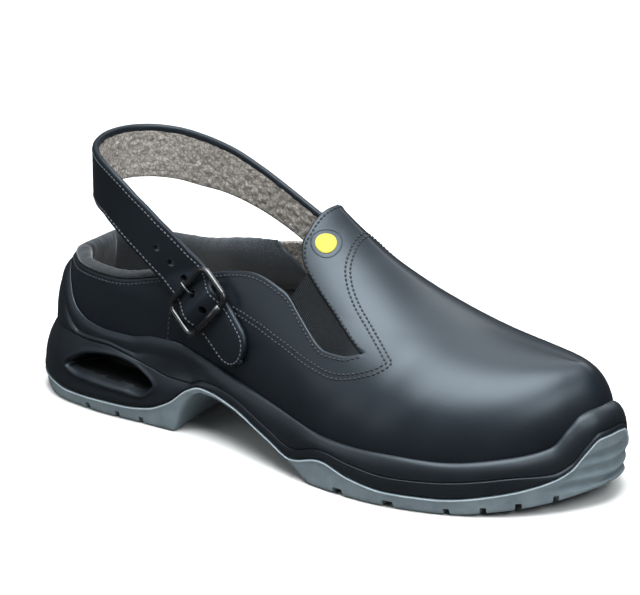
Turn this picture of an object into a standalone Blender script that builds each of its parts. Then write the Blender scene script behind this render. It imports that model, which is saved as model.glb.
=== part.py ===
"""A slip-on safety sandal for the right foot: lugged outsole, cupped midsole, insole, one hollow
leather upper with two elastic gores, a padded collar, and a heel strap with its buckle.

The toe points along +X and the outer side of the foot faces -Y. The shoe stands on z = 0.
"""

import math

import bmesh
import bpy
import numpy as np

# Driving dimensions, in millimetres. Meshes are written in metres.
MM = 0.001
GAP = 0.3
LATERAL, MEDIAL = -1, 1

# Upper: wall, the swell of its sides, how far the heel leans in and at what rise, and the run of the ridge line
WALL = 2.0
BELLY = 2.0
BELLY_HEIGHT = 26.0
HEEL_LEAN, LEAN_RISE, LEAN_MOST, LEAN_POWER = 7.2, 38.0, 45.0, 1.6
LEAN_END = {LATERAL: 0.24, MEDIAL: 0.13}
RIDGE_BACK, RIDGE_FRONT = 52.0, 272.0

# Sole: tread inset and bevel, toe guard, moulded lip, side crease, and tread grooves
FOOT_INSET, FOOT_BEVEL = 4.0, 2.0
GUARD_THICKNESS, GUARD_LEAN = 4.0, 1.0
GUARD_RIBS, RIB_DEPTH = 3, 0.9
GUARD_START, GUARD_FULL = 0.90, 0.95
INNER_SHIFT, INNER_TURN, INNER_FROM, INNER_TO = 0.018, 0.008, 0.84, 0.92
BREAST_SHIFT, BREAST_BACK, BREAST_FRONT, BREAST_FADE = 5.0, 60.0, 103.0, 8.0
CREASE_DEPTH, CREASE_BELOW, CREASE_ABOVE = 1.5, 0.9, 1.1
POD_SHARES, POD_POWER = (0.3, 0.6, 0.84), 2.4
CUP_CLEARANCE = GAP + 0.25
JOINT_CLEARANCE = GAP + 0.3
GROOVE_DEPTH, GROOVE_LENGTH = 3.4, 15.0
INSOLE_CLEARANCE = 0.7
CUTTER_REACH, SKY = 80.0, 150.0
CUTTER_OVERRUN = 4.0

# Collar pad, elastic and badge
COLLAR_ENDS = 0.335
GORE_DEPTHS = (-1.7, -0.4)
BADGE_PLACE, BADGE_RADIUS, BADGE_DEPTHS = (158.0, 95.0), 4.75, (0.3, 0.9)

# Heel strap and buckle; the buckle's place and the strap's slope are as seen from the outer side
BUCKLE_PLACE = (108.0, 64.2)
STRAP_SLOPE = math.radians(40)
STRAP_THICKNESS = 2.8
STRAP_CLEARANCE = 0.5
STRAP_LINES = np.array([-1.0, -0.4, 0.4, 1.0])
STRAP_SECTIONS = 36
TIP_RADIUS = 11.0
HUMP, HUMP_REACH = 4.2, 6.5
LAID_FROM_X = 84.0
HOLE_RADIUS, HOLE_REACH = 1.7, 12.0
HOLE_PLACES = (-31.4, -22.4, -13.4, -4.4, 4.6)
FRAME_LONG, FRAME_WIDE, FRAME_CORNER = 19.0, 27.0, 4.0
BAR_RADIUS, FRAME_LIFT, CENTRE_LIFT, CENTRE_END = 1.1, 5.7, 2.3, 0.6
PRONG_RADIUS = 0.7
CHAPE_LONG, CHAPE_WIDE, CHAPE_DEPTHS = 12.0, 12.0, (0.3, 0.9)


class Table:
    """Rows of named columns, read as smooth curves over the first column that never overshoot."""

    def __init__(self, names, *rows):
        self.names = names.split()
        self.rows = np.array(rows, float)

    def __call__(self, name, at):
        x, y = self.rows[:, 0], self.rows[:, self.names.index(name)]
        step = np.diff(x)
        slope = np.diff(y) / step
        same = slope[:-1] * slope[1:] > 0
        pair = np.where(same, slope[:-1] + slope[1:], 1.0)
        inner = np.where(same, 2 * slope[:-1] * slope[1:] / pair, 0.0)
        tangent = np.concatenate([[slope[0]], inner, [slope[-1]]])
        at = np.clip(np.asarray(at, float), x[0], x[-1])
        i = np.clip(np.searchsorted(x, at, side="right") - 1, 0, len(step) - 1)
        u = (at - x[i]) / step[i]
        rise = (3 - 2 * u) * u * u
        leave = ((u - 2) * u + 1) * u * step[i] * tangent[i]
        reach = (u - 1) * u * u * step[i] * tangent[i + 1]
        return y[i] + (y[i + 1] - y[i]) * rise + leave + reach


# The widest line of the sole from above: heel, outer side, toe, then back along the inner side
PLAN = (
    (0, 0), (5, -21), (20, -34), (45, -39.5), (80, -39), (115, -38.5), (150, -46), (185, -53.5),
    (215, -54), (243, -47), (268, -33), (287, -12), (296.5, 12), (293, 26), (283, 37), (262, 47),
    (232, 53), (205, 54), (170, 46), (130, 36), (90, 36.5), (45, 39), (20, 34), (5, 21),
)

# Lines of the sole's side by the share of the way from heel to toe: their heights, how far in the crease is
# tucked, and how far in the upper is seated
SIDE = Table(
    "along joint crease tuck lip seat",
    (0.000, 9.5, 32.6, 6.2, 62.0, 11.5),
    (0.085, 8.5, 33.2, 6.0, 61.2, 10.8),
    (0.120, 8.0, 33.8, 5.2, 53.4, 10.5),
    (0.155, 6.6, 33.2, 4.4, 44.2, 9.0),
    (0.180, 6.6, 32.6, 4.1, 41.0, 8.0),
    (0.215, 7.0, 33.0, 3.7, 39.6, 7.5),
    (0.255, 7.2, 30.8, 3.2, 39.6, 7.0),
    (0.290, 8.9, 28.0, 2.7, 41.8, 7.0),
    (0.325, 14.3, 25.4, 2.1, 42.2, 6.5),
    (0.356, 22.8, 25.2, 1.5, 39.5, 6.5),
    (0.375, 25.2, 27.5, 1.3, 37.5, 6.2),
    (0.430, 22.3, 24.5, 1.2, 33.0, 5.8),
    (0.500, 14.5, 16.8, 1.1, 29.0, 5.5),
    (0.546, 9.5, 12.2, 1.1, 26.2, 5.2),
    (0.600, 14.0, 16.6, 1.1, 23.6, 5.0),
    (0.645, 10.0, 14.2, 1.1, 23.0, 5.0),
    (0.700, 7.5, 12.3, 1.1, 23.3, 5.0),
    (0.760, 7.6, 13.0, 1.1, 23.0, 5.0),
    (0.840, 11.0, 15.8, 1.2, 25.5, 5.5),
    (0.905, 16.0, 18.5, 1.3, 29.2, 6.0),
    (0.930, 20.0, 22.2, 1.4, 36.5, 6.3),
    (0.948, 26.2, 28.6, 1.4, 41.3, 6.6),
    (0.970, 32.0, 34.4, 1.5, 43.0, 6.8),
    (1.000, 33.0, 35.4, 1.5, 43.4, 7.0),
)

# The sole from the side: tread face, inner joint of outsole and midsole, and footbed
BED = Table(
    "x tread joint floor",
    (0, 2.0, 7.0, 31.5),
    (22, 0.0, 7.0, 31.3),
    (80, 0.0, 7.4, 30.8),
    (88, 0.0, 11.0, 30.6),
    (93, 8.5, 14.6, 30.4),
    (98, 15.0, 18.4, 30.2),
    (109, 21.8, 24.4, 29.6),
    (128, 19.2, 21.6, 26.8),
    (152, 11.4, 13.8, 22.4),
    (166, 6.6, 9.2, 19.6),
    (180, 0.0, 7.0, 17.0),
    (205, 0.0, 7.0, 14.2),
    (245, 0.0, 7.0, 13.6),
    (269, 2.5, 9.0, 15.8),
    (283, 5.0, 11.5, 18.0),
    (297, 9.0, 14.0, 20.5),
)

# The last's top line from the side: height, sideways place, and how square the section under it is
RIDGE = Table(
    "x height middle square",
    (52, 132, 0, 2.3),
    (110, 127, 1, 2.2),
    (140, 113, 4, 2.1),
    (152, 108, 6, 2.0),
    (163, 99.5, 7, 1.95),
    (178, 88.5, 8, 1.95),
    (205, 74, 10, 2.0),
    (235, 64.5, 11, 2.15),
    (272, 59.5, 12, 2.35),
)

# The collar's top line from the side
TOPLINE = Table(
    "x height",
    (-10, 65.4),
    (20, 65.2),
    (32, 64.4),
    (46, 64.6),
    (57, 65.0),
    (66, 66.2),
    (76, 68.7),
    (88, 71.8),
    (104, 75.6),
    (121, 79.8),
    (130, 80.8),
    (148.5, 76.3),
)

# Edges of the slot for the elastic: the quarter's front edge going down, then the tab's edge going up
QUARTER_EDGE = (
    (148.5, 76.3), (160, 68.3), (168, 62.6), (173.5, 59.3), (178, 57.7), (187, 57.3), (193.5, 59.0),
)
TAB_EDGE = (
    (193.5, 59.0), (173, 72), (159, 82.2), (152.8, 88), (149.6, 94), (149.6, 100.5), (153.2, 109),
)
GORE_TOP = ((152.2, 77.6), (155.5, 83.6))

# The hollow in each side of the heel, from the side, and its steps: share of the outline, y of the bottom
HOLLOW = (
    (30, 18.6), (37, 24.6), (51, 28.8), (64, 28.9), (75, 25.6),
    (82.5, 19.6), (78, 15.3), (64, 14.9), (46, 15.7), (35, 16.5),
)
HOLLOW_STEPS = ((1.0, 35.4), (0.78, 31.0), (0.56, 25.0))

# Rounds of the sole's lip, from below: drop under the lip line, and way out from the upper
LIP_PROFILE = ((5.0, 2.1), (2.0, 3.0), (0.3, 1.8), (0.0, 0.8))
CUP_SHARES = (0.97, 0.72, 0.48, 0.24, 0.06)

# The insole's rim from below: way in from its widest line, and height over its base
INSOLE_PROFILE = ((0.6, 0.0), (0.0, 0.6), (0.0, 2.7), (0.9, 3.5))

# The collar pad's section, round from its lower end: drop under the top line, way in from the outer face
COLLAR_PROFILE = (
    (24.0, 2.8), (8.0, 2.9), (-0.6, 2.9), (-0.6, 0.6), (-1.6, 0.4), (-2.5, 2.0),
    (-2.7, 4.2), (-1.6, 6.8), (2.0, 8.6), (12.0, 8.2), (21.0, 5.6),
)

# The prong's middle line, along, across and out from the buckle's place
PRONG = (
    (-2.6, 0.0, 2.1), (-4.2, 0.0, 2.2), (-4.5, 0.0, 3.6), (-4.6, 0.0, 5.4),
    (-5.4, 0.0, 6.8), (-7.2, 0.0, 7.6), (-11.2, 0.0, 7.8),
)

# The strap's middle line and width, from its tip by the outer side round the heel to its sewn end
STRAP = (
    (134, -30, 42.3, 22), (123.3, -29, 51.3, 22), (108, -28, 64.2, 22), (92.7, -30.5, 77.1, 22),
    (77.4, -33, 90, 22), (66, -33.5, 99, 22.5), (57, -32.5, 104.5, 23.5), (47, -29, 107.3, 25),
    (38.5, -21.5, 108.2, 25.5), (31.5, -10, 108.2, 25.5), (28.5, 3, 108, 25.5), (30, 14, 107.7, 25.5),
    (36, 23, 107, 25.5), (46, 28.5, 106, 25.3), (58, 31, 104.2, 25), (72, 32, 102, 23),
    (88, 32, 97.5, 20.5), (106, 31, 91, 18.5), (122, 30, 84, 18), (136, 30.5, 76.5, 18), (146, 32, 70, 18),
)

# Tread grooves from the edge inwards: place along the sole, lean to the front or back in degrees, and width
GROOVES = (
    (44.3, -8, 2.8), (62, 0, 2.8), (75.6, 4, 2.8), (196, -6, 6.0), (221, 0, 6.0),
    (246.4, 8, 3.2), (260.4, 18, 3.2), (272.8, 32, 3.2), (284, 48, 3.2),
)


def smooth_line(points, count, closed=False):
    """Evenly spaced points on a smooth line through the given ones, in as many dimensions as they have."""
    given = np.array(points, float)
    if closed:
        given = np.vstack([given[-1:], given, given[:2]])
    else:
        given = np.vstack([2 * given[0] - given[1], given, 2 * given[-1] - given[-2]])
    length = np.linalg.norm(np.diff(given, axis=0), axis=1)[:, None]
    slope = np.diff(given, axis=0) / length
    tangent = (slope[:-1] * length[1:] + slope[1:] * length[:-1]) / (length[1:] + length[:-1])
    start, end, reach = given[1:-2, None], given[2:-1, None], length[1:-1, None]
    u = np.linspace(0, 1, 40, endpoint=False)[None, :, None]
    line = (
        start * (2 * u**3 - 3 * u**2 + 1)
        + tangent[:-1, None] * reach * (u**3 - 2 * u**2 + u)
        + end * (3 * u**2 - 2 * u**3)
        + tangent[1:, None] * reach * (u**3 - u**2)
    )
    line = np.vstack([line.reshape(-1, given.shape[1]), given[-2]])
    walked = np.concatenate([[0], np.cumsum(np.linalg.norm(np.diff(line, axis=0), axis=1))])
    even = np.linspace(0, walked[-1], count, endpoint=not closed)
    return np.column_stack([np.interp(even, walked, line[:, k]) for k in range(line.shape[1])])


OUTLINE = smooth_line(PLAN, 1440, closed=True)
TIP = int(np.argmax(OUTLINE[:, 0]))
X_MIDDLE = (OUTLINE[:, 0].max() + OUTLINE[:, 0].min()) / 2
Y_MIDDLE = (OUTLINE[:, 1].max() + OUTLINE[:, 1].min()) / 2
TURN = np.roll(OUTLINE, -1, axis=0) - np.roll(OUTLINE, 1, axis=0)
OUTWARD = np.column_stack([TURN[:, 1], -TURN[:, 0]]) / np.linalg.norm(TURN, axis=1)[:, None]

# Places along the edge where sections are taken, closer where the side lines turn
STATIONS = np.concatenate(
    [
        np.linspace(start, end, count, endpoint=False)
        for start, end, count in (
            (0.00, 0.12, 4), (0.12, 0.22, 5), (0.22, 0.28, 2), (0.28, 0.38, 5),
            (0.38, 0.54, 4), (0.54, 0.66, 5), (0.66, 0.88, 6), (0.88, 1.00, 8),
        )
    ]
    + [[1.0]]
)
RISES = np.array([0.0, 0.06, 0.13, 0.21, 0.29, 0.37, 0.46, 0.56, 0.67, 0.79, 0.90, 1.0])


def edge(side, along):
    """Points of the sole's widest line, and the outward directions there, on one side from heel to toe.

    Both sides have the same x at the same share of the way, so that sections run straight across.
    """
    outer = slice(0, TIP + 1)
    share = np.linspace(0, 1, TIP + 1)
    if side == LATERAL:
        whole = np.hstack([OUTLINE, OUTWARD])[outer]
        found = np.column_stack([np.interp(along, share, whole[:, k]) for k in range(4)])
    else:
        whole = np.vstack([np.hstack([OUTLINE, OUTWARD])[TIP:], [[0, 0, -1, 0]]])[::-1]
        x = np.interp(along, share, OUTLINE[outer, 0])
        found = np.column_stack([np.interp(x, whole[:, 0], whole[:, k]) for k in range(4)])
    return found[:, :2], found[:, 2:] / np.linalg.norm(found[:, 2:], axis=1)[:, None]


def seat(side, along):
    """Where the upper's outer face stands on the footbed."""
    place, away = edge(side, along)
    place = place - away * SIDE("seat", along)[:, None]
    return np.column_stack([place, BED("floor", place[:, 0]) + GAP])


def ridge(along):
    """The top line of the last, which runs on above the open collar as a guide."""
    middle = (seat(LATERAL, along)[:, 0] + seat(MEDIAL, along)[:, 0]) / 2
    back, front = seat(LATERAL, np.array([0.0, 1.0]))[:, 0]
    x = RIDGE_BACK + (RIDGE_FRONT - RIDGE_BACK) * (middle - back) / (front - back)
    return np.column_stack([x, RIDGE("middle", x), RIDGE("height", x)])


def section(side, along, angle):
    """Points of the upper's outer face on the sections at given places, at given angles up each section."""
    low, top = seat(side, along), ridge(along)
    power = 2 / RIDGE("square", top[:, 0])
    across, up = np.abs(np.cos(angle)) ** power, np.sin(angle) ** power
    flat = top[:, :2] + (low - top)[:, :2] * across[:, None]
    climb = (top - low)[:, 2] * up
    swell = BELLY * np.sin(math.pi * np.clip(climb / (2 * BELLY_HEIGHT), 0, 1))
    past = np.clip(along / LEAN_END[side], 0, 1)
    lean = HEEL_LEAN * (1 - (3 - 2 * past) * past**2)
    lean *= (np.clip(climb, 0, LEAN_MOST) / LEAN_RISE) ** LEAN_POWER
    return np.column_stack([flat + edge(side, along)[1] * (swell - lean)[:, None], low[:, 2] + climb])


def skin(side, along, height):
    """Points of the upper's outer face at given heights, one for each place along the edge."""
    low, top = seat(side, along)[:, 2], ridge(along)
    power = 2 / RIDGE("square", top[:, 0])
    share = np.clip((height - low) / (top[:, 2] - low), 0, 1)
    return section(side, along, np.arcsin(share ** (1 / power)))


def face_at(side, x, z):
    """The point of the outer face that shows at x, z from the side, and its outward direction."""

    def face(along, rise):
        return section(side, np.array([along]), np.array([rise * math.pi / 2]))[0]

    spot, nudge = np.array([0.05 + 0.9 * x / OUTLINE[TIP, 0], 0.4]), 1e-4
    for _ in range(25):
        here = face(*spot)
        run, climb = (face(*(spot + step)) - here for step in np.eye(2) * nudge)
        slope = np.column_stack([run, climb])[[0, 2]] / nudge
        move = np.linalg.solve(slope, [x - here[0], z - here[2]])
        spot = np.clip(spot + np.clip(move, -0.08, 0.08), 0.001, 0.99)
    out = np.cross(run, climb)
    out *= np.sign(out[1]) * side
    return here, out / np.linalg.norm(out)


def lines(side, along):
    """Places on the table of side lines: by the toe, the lines of the inner side fall sooner."""
    if side == LATERAL:
        return along
    near_toe = np.clip((along - INNER_FROM) / (INNER_TO - INNER_FROM), 0, 1)
    return along - INNER_SHIFT * near_toe * (1 - np.exp((along - 1) / INNER_TURN))


def tread(side, x):
    """Heights of the tread face: the heel block ends further forward on the outer side than on the inner."""
    fade = np.clip((x - BREAST_BACK) / BREAST_FADE, 0, 1) * np.clip((BREAST_FRONT - x) / BREAST_FADE, 0, 1)
    return BED("tread", x - BREAST_SHIFT * fade * (side == LATERAL))


def ring(point):
    """One closed ring: a rule for points is read along the outer side to the toe, then back on the inner."""
    outer, inner = point(LATERAL, STATIONS), point(MEDIAL, STATIONS)
    return np.vstack([outer, inner[-2:0:-1]])


def side_ring(inset, height):
    """A ring on the sole's side, set in from the widest line.

    The inset is a rule over the place on the side lines, and the height over that, the side and x.
    """

    def point(side, along):
        place, away = edge(side, along)
        at = lines(side, along)
        moved = place - away * np.reshape(inset(at) * np.ones(len(at)), (-1, 1))
        return np.column_stack([moved, height(at, side, place[:, 0])])

    return ring(point)


def skin_ring(height, out):
    """A ring a given way out from the upper's outer face, at heights ruled by the place along the edge."""

    def point(side, along):
        place = skin(side, along, height(side, along))
        place[:, :2] += edge(side, along)[1] * out
        return place

    return ring(point)


def new_collection(name):
    """A collection of the scene."""
    collection = bpy.data.collections.new(name)
    bpy.context.scene.collection.children.link(collection)
    return collection


def finish(name, colour, roughness, metallic=0.0):
    """A plain material."""
    made = bpy.data.materials.new(name)
    made.use_nodes = True
    shader = made.node_tree.nodes["Principled BSDF"]
    shader.inputs["Base Color"].default_value = (*colour, 1.0)
    shader.inputs["Roughness"].default_value = roughness
    shader.inputs["Metallic"].default_value = metallic
    return made


def add_object(name, mesh, look=None):
    """An object of the shoe, or a cutter where it has no finish."""
    mesh.shade_smooth()
    mesh.set_sharp_from_angle(angle=math.radians(40))
    body = bpy.data.objects.new(name, mesh)
    if look is None:
        CUTTERS.objects.link(body)
        body.hide_render = True
        body.display_type = "WIRE"
    else:
        mesh.materials.append(look)
        SHOE.objects.link(body)
    return body


def add_mesh(name, points, faces, look=None):
    """An object from points in millimetres, moved so that the sole's box is centred over the origin."""
    mesh = bpy.data.meshes.new(name)
    moved = (np.asarray(points, float) - (X_MIDDLE, Y_MIDDLE, 0)) * MM
    mesh.from_pydata(moved.tolist(), [], [[int(i) for i in face] for face in faces])
    made = bmesh.new()
    made.from_mesh(mesh)
    bmesh.ops.remove_doubles(made, verts=made.verts, dist=1e-6)
    bmesh.ops.recalc_face_normals(made, faces=made.faces)
    made.to_mesh(mesh)
    made.free()
    return add_object(name, mesh, look)


def tube(name, points, radius, look=None, cyclic=False):
    """A round bar along points in millimetres, as a mesh."""
    curve = bpy.data.curves.new(name, "CURVE")
    curve.dimensions = "3D"
    curve.bevel_depth = radius * MM
    curve.bevel_resolution = 2
    curve.use_fill_caps = True
    spline = curve.splines.new("POLY")
    spline.points.add(len(points) - 1)
    spline.use_cyclic_u = cyclic
    for place, point in zip(spline.points, (np.asarray(points) - (X_MIDDLE, Y_MIDDLE, 0)) * MM):
        place.co = (*point, 1.0)
    guide = bpy.data.objects.new(name + "_line", curve)
    bpy.context.scene.collection.objects.link(guide)
    mesh = bpy.data.meshes.new_from_object(guide.evaluated_get(bpy.context.evaluated_depsgraph_get()))
    bpy.data.objects.remove(guide)
    made = bmesh.new()
    made.from_mesh(mesh)
    bmesh.ops.remove_doubles(made, verts=made.verts, dist=1e-7)
    bmesh.ops.recalc_face_normals(made, faces=made.faces)
    made.to_mesh(mesh)
    made.free()
    return add_object(name, mesh, look)


def loft(name, rings, look, cap_pairs=True):
    """A solid through rings of points. Its ends are closed side to side, or else as flat ends."""
    count = len(rings[0])
    faces = []
    for low in range(0, (len(rings) - 1) * count, count):
        for i in range(count):
            j = (i + 1) % count
            faces.append((low + i, low + j, low + count + j, low + count + i))
    for first in (0, (len(rings) - 1) * count):
        if cap_pairs:
            for i in range(count // 2):
                corners = dict.fromkeys([i, i + 1, count - i - 1, (count - i) % count])
                faces.append([first + corner for corner in corners])
        else:
            faces.append(range(first, first + count))
    return add_mesh(name, np.vstack(rings), faces, look)


def combine(body, operation, other):
    """Cuts a body with another object or with a whole collection, joins it, or keeps what they share."""
    change = body.modifiers.new(operation.title(), "BOOLEAN")
    change.operation = operation
    change.solver = "EXACT"
    if isinstance(other, bpy.types.Collection):
        change.operand_type = "COLLECTION"
        change.collection = other
    else:
        change.object = other
    return body


def prism(name, outline, near, far):
    """A cutter: an outline in the side view, drawn out across the shoe from one y to another."""
    count = len(outline)
    points = [(x, y, z) for y in (near, far) for x, z in outline]
    faces = [range(count), range(2 * count - 1, count - 1, -1)]
    faces += [(i, (i + 1) % count, count + (i + 1) % count, count + i) for i in range(count)]
    return add_mesh(name, points, faces)


def face_grid():
    """The upper's outer face as points, quads, outward directions and bottom rim, in one piece."""
    columns, rows = len(STATIONS), len(RISES)
    sides = {
        side: np.stack([section(side, STATIONS, np.full(columns, r * math.pi / 2)) for r in RISES], axis=1)
        for side in (LATERAL, MEDIAL)
    }
    number, points, quads = {}, [], []

    def index(side, i, k):
        shared = i in (0, columns - 1) or k == rows - 1
        key = (LATERAL if shared else side, i, k)
        if key not in number:
            number[key] = len(points)
            points.append(sides[key[0]][i, k])
        return number[key]

    for side in (LATERAL, MEDIAL):
        for i in range(columns - 1):
            for k in range(rows - 1):
                quad = [index(side, *at) for at in ((i, k), (i + 1, k), (i + 1, k + 1), (i, k + 1))]
                quads.append(quad if side == LATERAL else quad[::-1])
    points, quads = np.array(points), np.array(quads)
    corners = points[quads]
    turn = np.cross(corners[:, 2] - corners[:, 0], corners[:, 3] - corners[:, 1])
    out = np.zeros_like(points)
    for k in range(4):
        np.add.at(out, quads[:, k], turn)
    rim = [index(LATERAL, i, 0) for i in range(columns)]
    rim += [index(MEDIAL, i, 0) for i in range(columns - 2, 0, -1)]
    return points, quads, out / np.linalg.norm(out, axis=1)[:, None], rim


def shell(name, depths, look):
    """The hollow form between two offsets of the upper's outer face, open underneath."""
    points, quads, out, rim = face_grid()
    low, high = depths
    count = len(points)
    faces = [*quads, *(count + quads[:, ::-1])]
    faces += [(b, a, count + a, count + b) for a, b in zip(rim, rim[1:] + rim[:1])]
    return add_mesh(name, np.vstack([points + out * high, points + out * low]), faces, look)


def inset_outline(outline, by):
    """An outline in the side view drawn in by a constant way."""
    points = np.asarray(outline, float)
    ahead = np.roll(points, -1, axis=0) - points
    turn = np.sign(np.sum(points[:, 0] * ahead[:, 1] - points[:, 1] * ahead[:, 0]))
    inward = np.column_stack([-ahead[:, 1], ahead[:, 0]]) * turn / np.linalg.norm(ahead, axis=1)[:, None]
    both = inward + np.roll(inward, 1, axis=0)
    return points + both * (2 * by / np.sum(both**2, axis=1))[:, None]


def make_outsole():
    """Tread face, bevel, ribbed toe guard and the tray that the midsole fills, then the lug grooves."""

    def rib_inset(share):
        def inset(along):
            toe = np.clip((along - GUARD_START) / (GUARD_FULL - GUARD_START), 0, 1)
            return RIB_DEPTH * toe * (1 - math.cos(2 * math.pi * GUARD_RIBS * share)) / 2

        return inset

    def rib_height(share):
        def height(along, side, x):
            low = tread(side, x) + FOOT_BEVEL
            return low + (SIDE("joint", along) - low) * share

        return height

    shares = np.linspace(0, 1, 2 * GUARD_RIBS + 1)[1:]
    rings = [
        side_ring(lambda along: FOOT_INSET, lambda along, side, x: tread(side, x)),
        side_ring(lambda along: FOOT_INSET / 4, lambda along, side, x: tread(side, x) + FOOT_BEVEL),
        *(side_ring(rib_inset(share), rib_height(share)) for share in shares),
        side_ring(lambda along: GUARD_THICKNESS, lambda along, side, x: SIDE("joint", along)),
        side_ring(lambda along: GUARD_THICKNESS + GUARD_LEAN, lambda along, side, x: BED("joint", x)),
    ]
    body = loft("outsole", rings, rubber)
    for x, lean, wide in GROOVES:
        for side in (LATERAL, MEDIAL):
            cut_groove(side, x, lean, wide)
    return combine(body, "DIFFERENCE", GROOVE_CUTTERS)


def cut_groove(side, x, lean, wide):
    """One groove cutter, from outside the sole's edge inwards."""
    pick = np.argmin(np.abs(OUTLINE[:, 0] - x) + 1000 * (OUTLINE[:, 1] * side < 0))
    inward = np.array([-math.sin(math.radians(lean)), -side * math.cos(math.radians(lean))])
    aside = np.array([inward[1], -inward[0]]) * wide / 2
    start, end = OUTLINE[pick] - inward * CUTTER_OVERRUN, OUTLINE[pick] + inward * GROOVE_LENGTH
    top = BED("tread", OUTLINE[pick, 0]) + GROOVE_DEPTH
    corners = [start - aside, start + aside, end + aside, end - aside]
    points = [(*corner, z) for z in (-CUTTER_OVERRUN, top) for corner in corners]
    faces = [(0, 1, 2, 3), (4, 5, 6, 7), (0, 1, 5, 4), (1, 2, 6, 5), (2, 3, 7, 6), (3, 0, 4, 7)]
    body = add_mesh(f"groove_{x:.0f}_{side}", points, faces)
    GROOVE_CUTTERS.objects.link(body)
    CUTTERS.objects.unlink(body)


def make_midsole():
    """The moulded foam: bottom, creased sides, rolled lip, the cup for the upper, and the heel hollows."""

    def crease(step, inset):
        return side_ring(
            lambda along: SIDE("tuck", along) + inset,
            lambda along, side, x: SIDE("crease", along) + step,
        )

    def pod(share):
        def height(along, side, x):
            low, high = SIDE("joint", along) + JOINT_CLEARANCE, SIDE("crease", along) - CREASE_BELOW
            return low + (high - low) * share

        return side_ring(lambda along: (SIDE("tuck", along) - CREASE_DEPTH / 2) * share**POD_POWER, height)

    def lip(drop, out):
        return skin_ring(lambda side, along: SIDE("lip", lines(side, along)) - drop, out)

    def cup(share):
        def height(side, along):
            floor = seat(side, along)[:, 2]
            return floor + (SIDE("lip", lines(side, along)) - floor) * share

        return skin_ring(height, CUP_CLEARANCE)

    def floor(side, along):
        place = seat(side, along)
        place[:, :2] += edge(side, along)[1] * CUP_CLEARANCE
        place[:, 2] -= GAP
        return place

    rings = [
        side_ring(
            lambda along: GUARD_THICKNESS + GUARD_LEAN + JOINT_CLEARANCE,
            lambda along, side, x: BED("joint", x) + JOINT_CLEARANCE,
        ),
        side_ring(
            lambda along: GUARD_THICKNESS + JOINT_CLEARANCE,
            lambda along, side, x: SIDE("joint", along) + JOINT_CLEARANCE,
        ),
        side_ring(lambda along: GAP, lambda along, side, x: SIDE("joint", along) + JOINT_CLEARANCE),
        *(pod(share) for share in POD_SHARES),
        crease(-CREASE_BELOW, -CREASE_DEPTH / 2),
        crease(0.0, CREASE_DEPTH / 2),
        crease(CREASE_ABOVE, 0.0),
        *(lip(drop, out) for drop, out in LIP_PROFILE),
        *(cup(share) for share in CUP_SHARES),
        ring(floor),
    ]
    body = loft("midsole", rings, foam)
    outline = smooth_line(HOLLOW, 24, closed=True)
    middle = outline.mean(axis=0)
    for side in (LATERAL, MEDIAL):
        for k, (share, depth) in enumerate(HOLLOW_STEPS):
            step = middle + (outline - middle) * share
            combine(body, "DIFFERENCE", prism(f"hollow_{k}_{side}", step, side * depth, side * CUTTER_REACH))
    return body


def make_insole():
    """The footbed inside the upper's wall."""

    def rim(inset, climb):
        def point(side, along):
            place = seat(side, along)
            place[:, :2] -= edge(side, along)[1] * (WALL + INSOLE_CLEARANCE + inset)
            place[:, 2] += climb
            return place

        return ring(point)

    return loft("insole", [rim(inset, climb) for inset, climb in INSOLE_PROFILE], lining)


def slot_outline():
    """The elastic's slot from the side, from its top behind down and round to its top in front."""
    return np.vstack([smooth_line(QUARTER_EDGE, 13), smooth_line(TAB_EDGE, 14)[1:]])


def make_upper():
    """The hollow wall, cut away above the collar line, in the slots and behind the tab."""
    body = shell("upper", (-WALL, 0.0), leather)
    slot = slot_outline()
    x = np.linspace(TOPLINE.rows[0, 0], slot[0, 0], 24)
    top = np.column_stack([x, TOPLINE("height", x)])
    sky = [(slot[-1, 0], SKY), (x[0], SKY)]
    opening = prism("opening", np.vstack([top, slot[1:], sky]), -CUTTER_REACH, CUTTER_REACH)
    return combine(body, "DIFFERENCE", opening)


def make_gore(side, name):
    """The elastic that fills one slot."""
    slot = slot_outline()
    back, front = GORE_TOP
    kept = slot[slot[:, 1] < back[1] + (slot[:, 0] - back[0]) * (front[1] - back[1]) / (front[0] - back[0])]
    kept = kept[kept[:, 0] > back[0]]
    outline = inset_outline(np.vstack([[back], kept, [front]]), GAP)
    cutter = prism(name + "_cut", outline, 0.0, side * CUTTER_REACH)
    return combine(shell(name, GORE_DEPTHS, elastic), "INTERSECT", cutter)


def make_collar():
    """The padded roll round the back of the foot: it lies inside the wall and over its top edge."""
    places = [(LATERAL, a) for a in np.linspace(COLLAR_ENDS, 0.0, 16)]
    places += [(MEDIAL, a) for a in np.linspace(0.0, COLLAR_ENDS, 16)[1:]]
    rings = []
    for side, along in places:
        here = np.array([along])
        top = TOPLINE.rows[0, 1]
        for _ in range(6):
            top = float(TOPLINE("height", skin(side, here, top)[0, 0]))
        points = []
        for drop, into in COLLAR_PROFILE:
            point = skin(side, here, top - drop)[0]
            point[:2] -= edge(side, here)[1][0] * into
            points.append(point)
        rings.append(np.array(points))
    return loft("collar_pad", rings, textile, cap_pairs=False)


def buckle_frame():
    """The buckle's own directions on the quarter: along the strap, across it and outwards, and its place."""
    place, out = face_at(LATERAL, *BUCKLE_PLACE)
    down = np.array([math.cos(STRAP_SLOPE), 0.0, -math.sin(STRAP_SLOPE)])
    down -= out * (down @ out)
    down /= np.linalg.norm(down)
    return place, down, np.cross(out, down), out


def on_buckle(points):
    """Points given along, across and out from the buckle's place, in the shoe's frame."""
    place, down, across, out = buckle_frame()
    return np.array([place + a * down + b * across + c * out for a, b, c in points])


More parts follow.
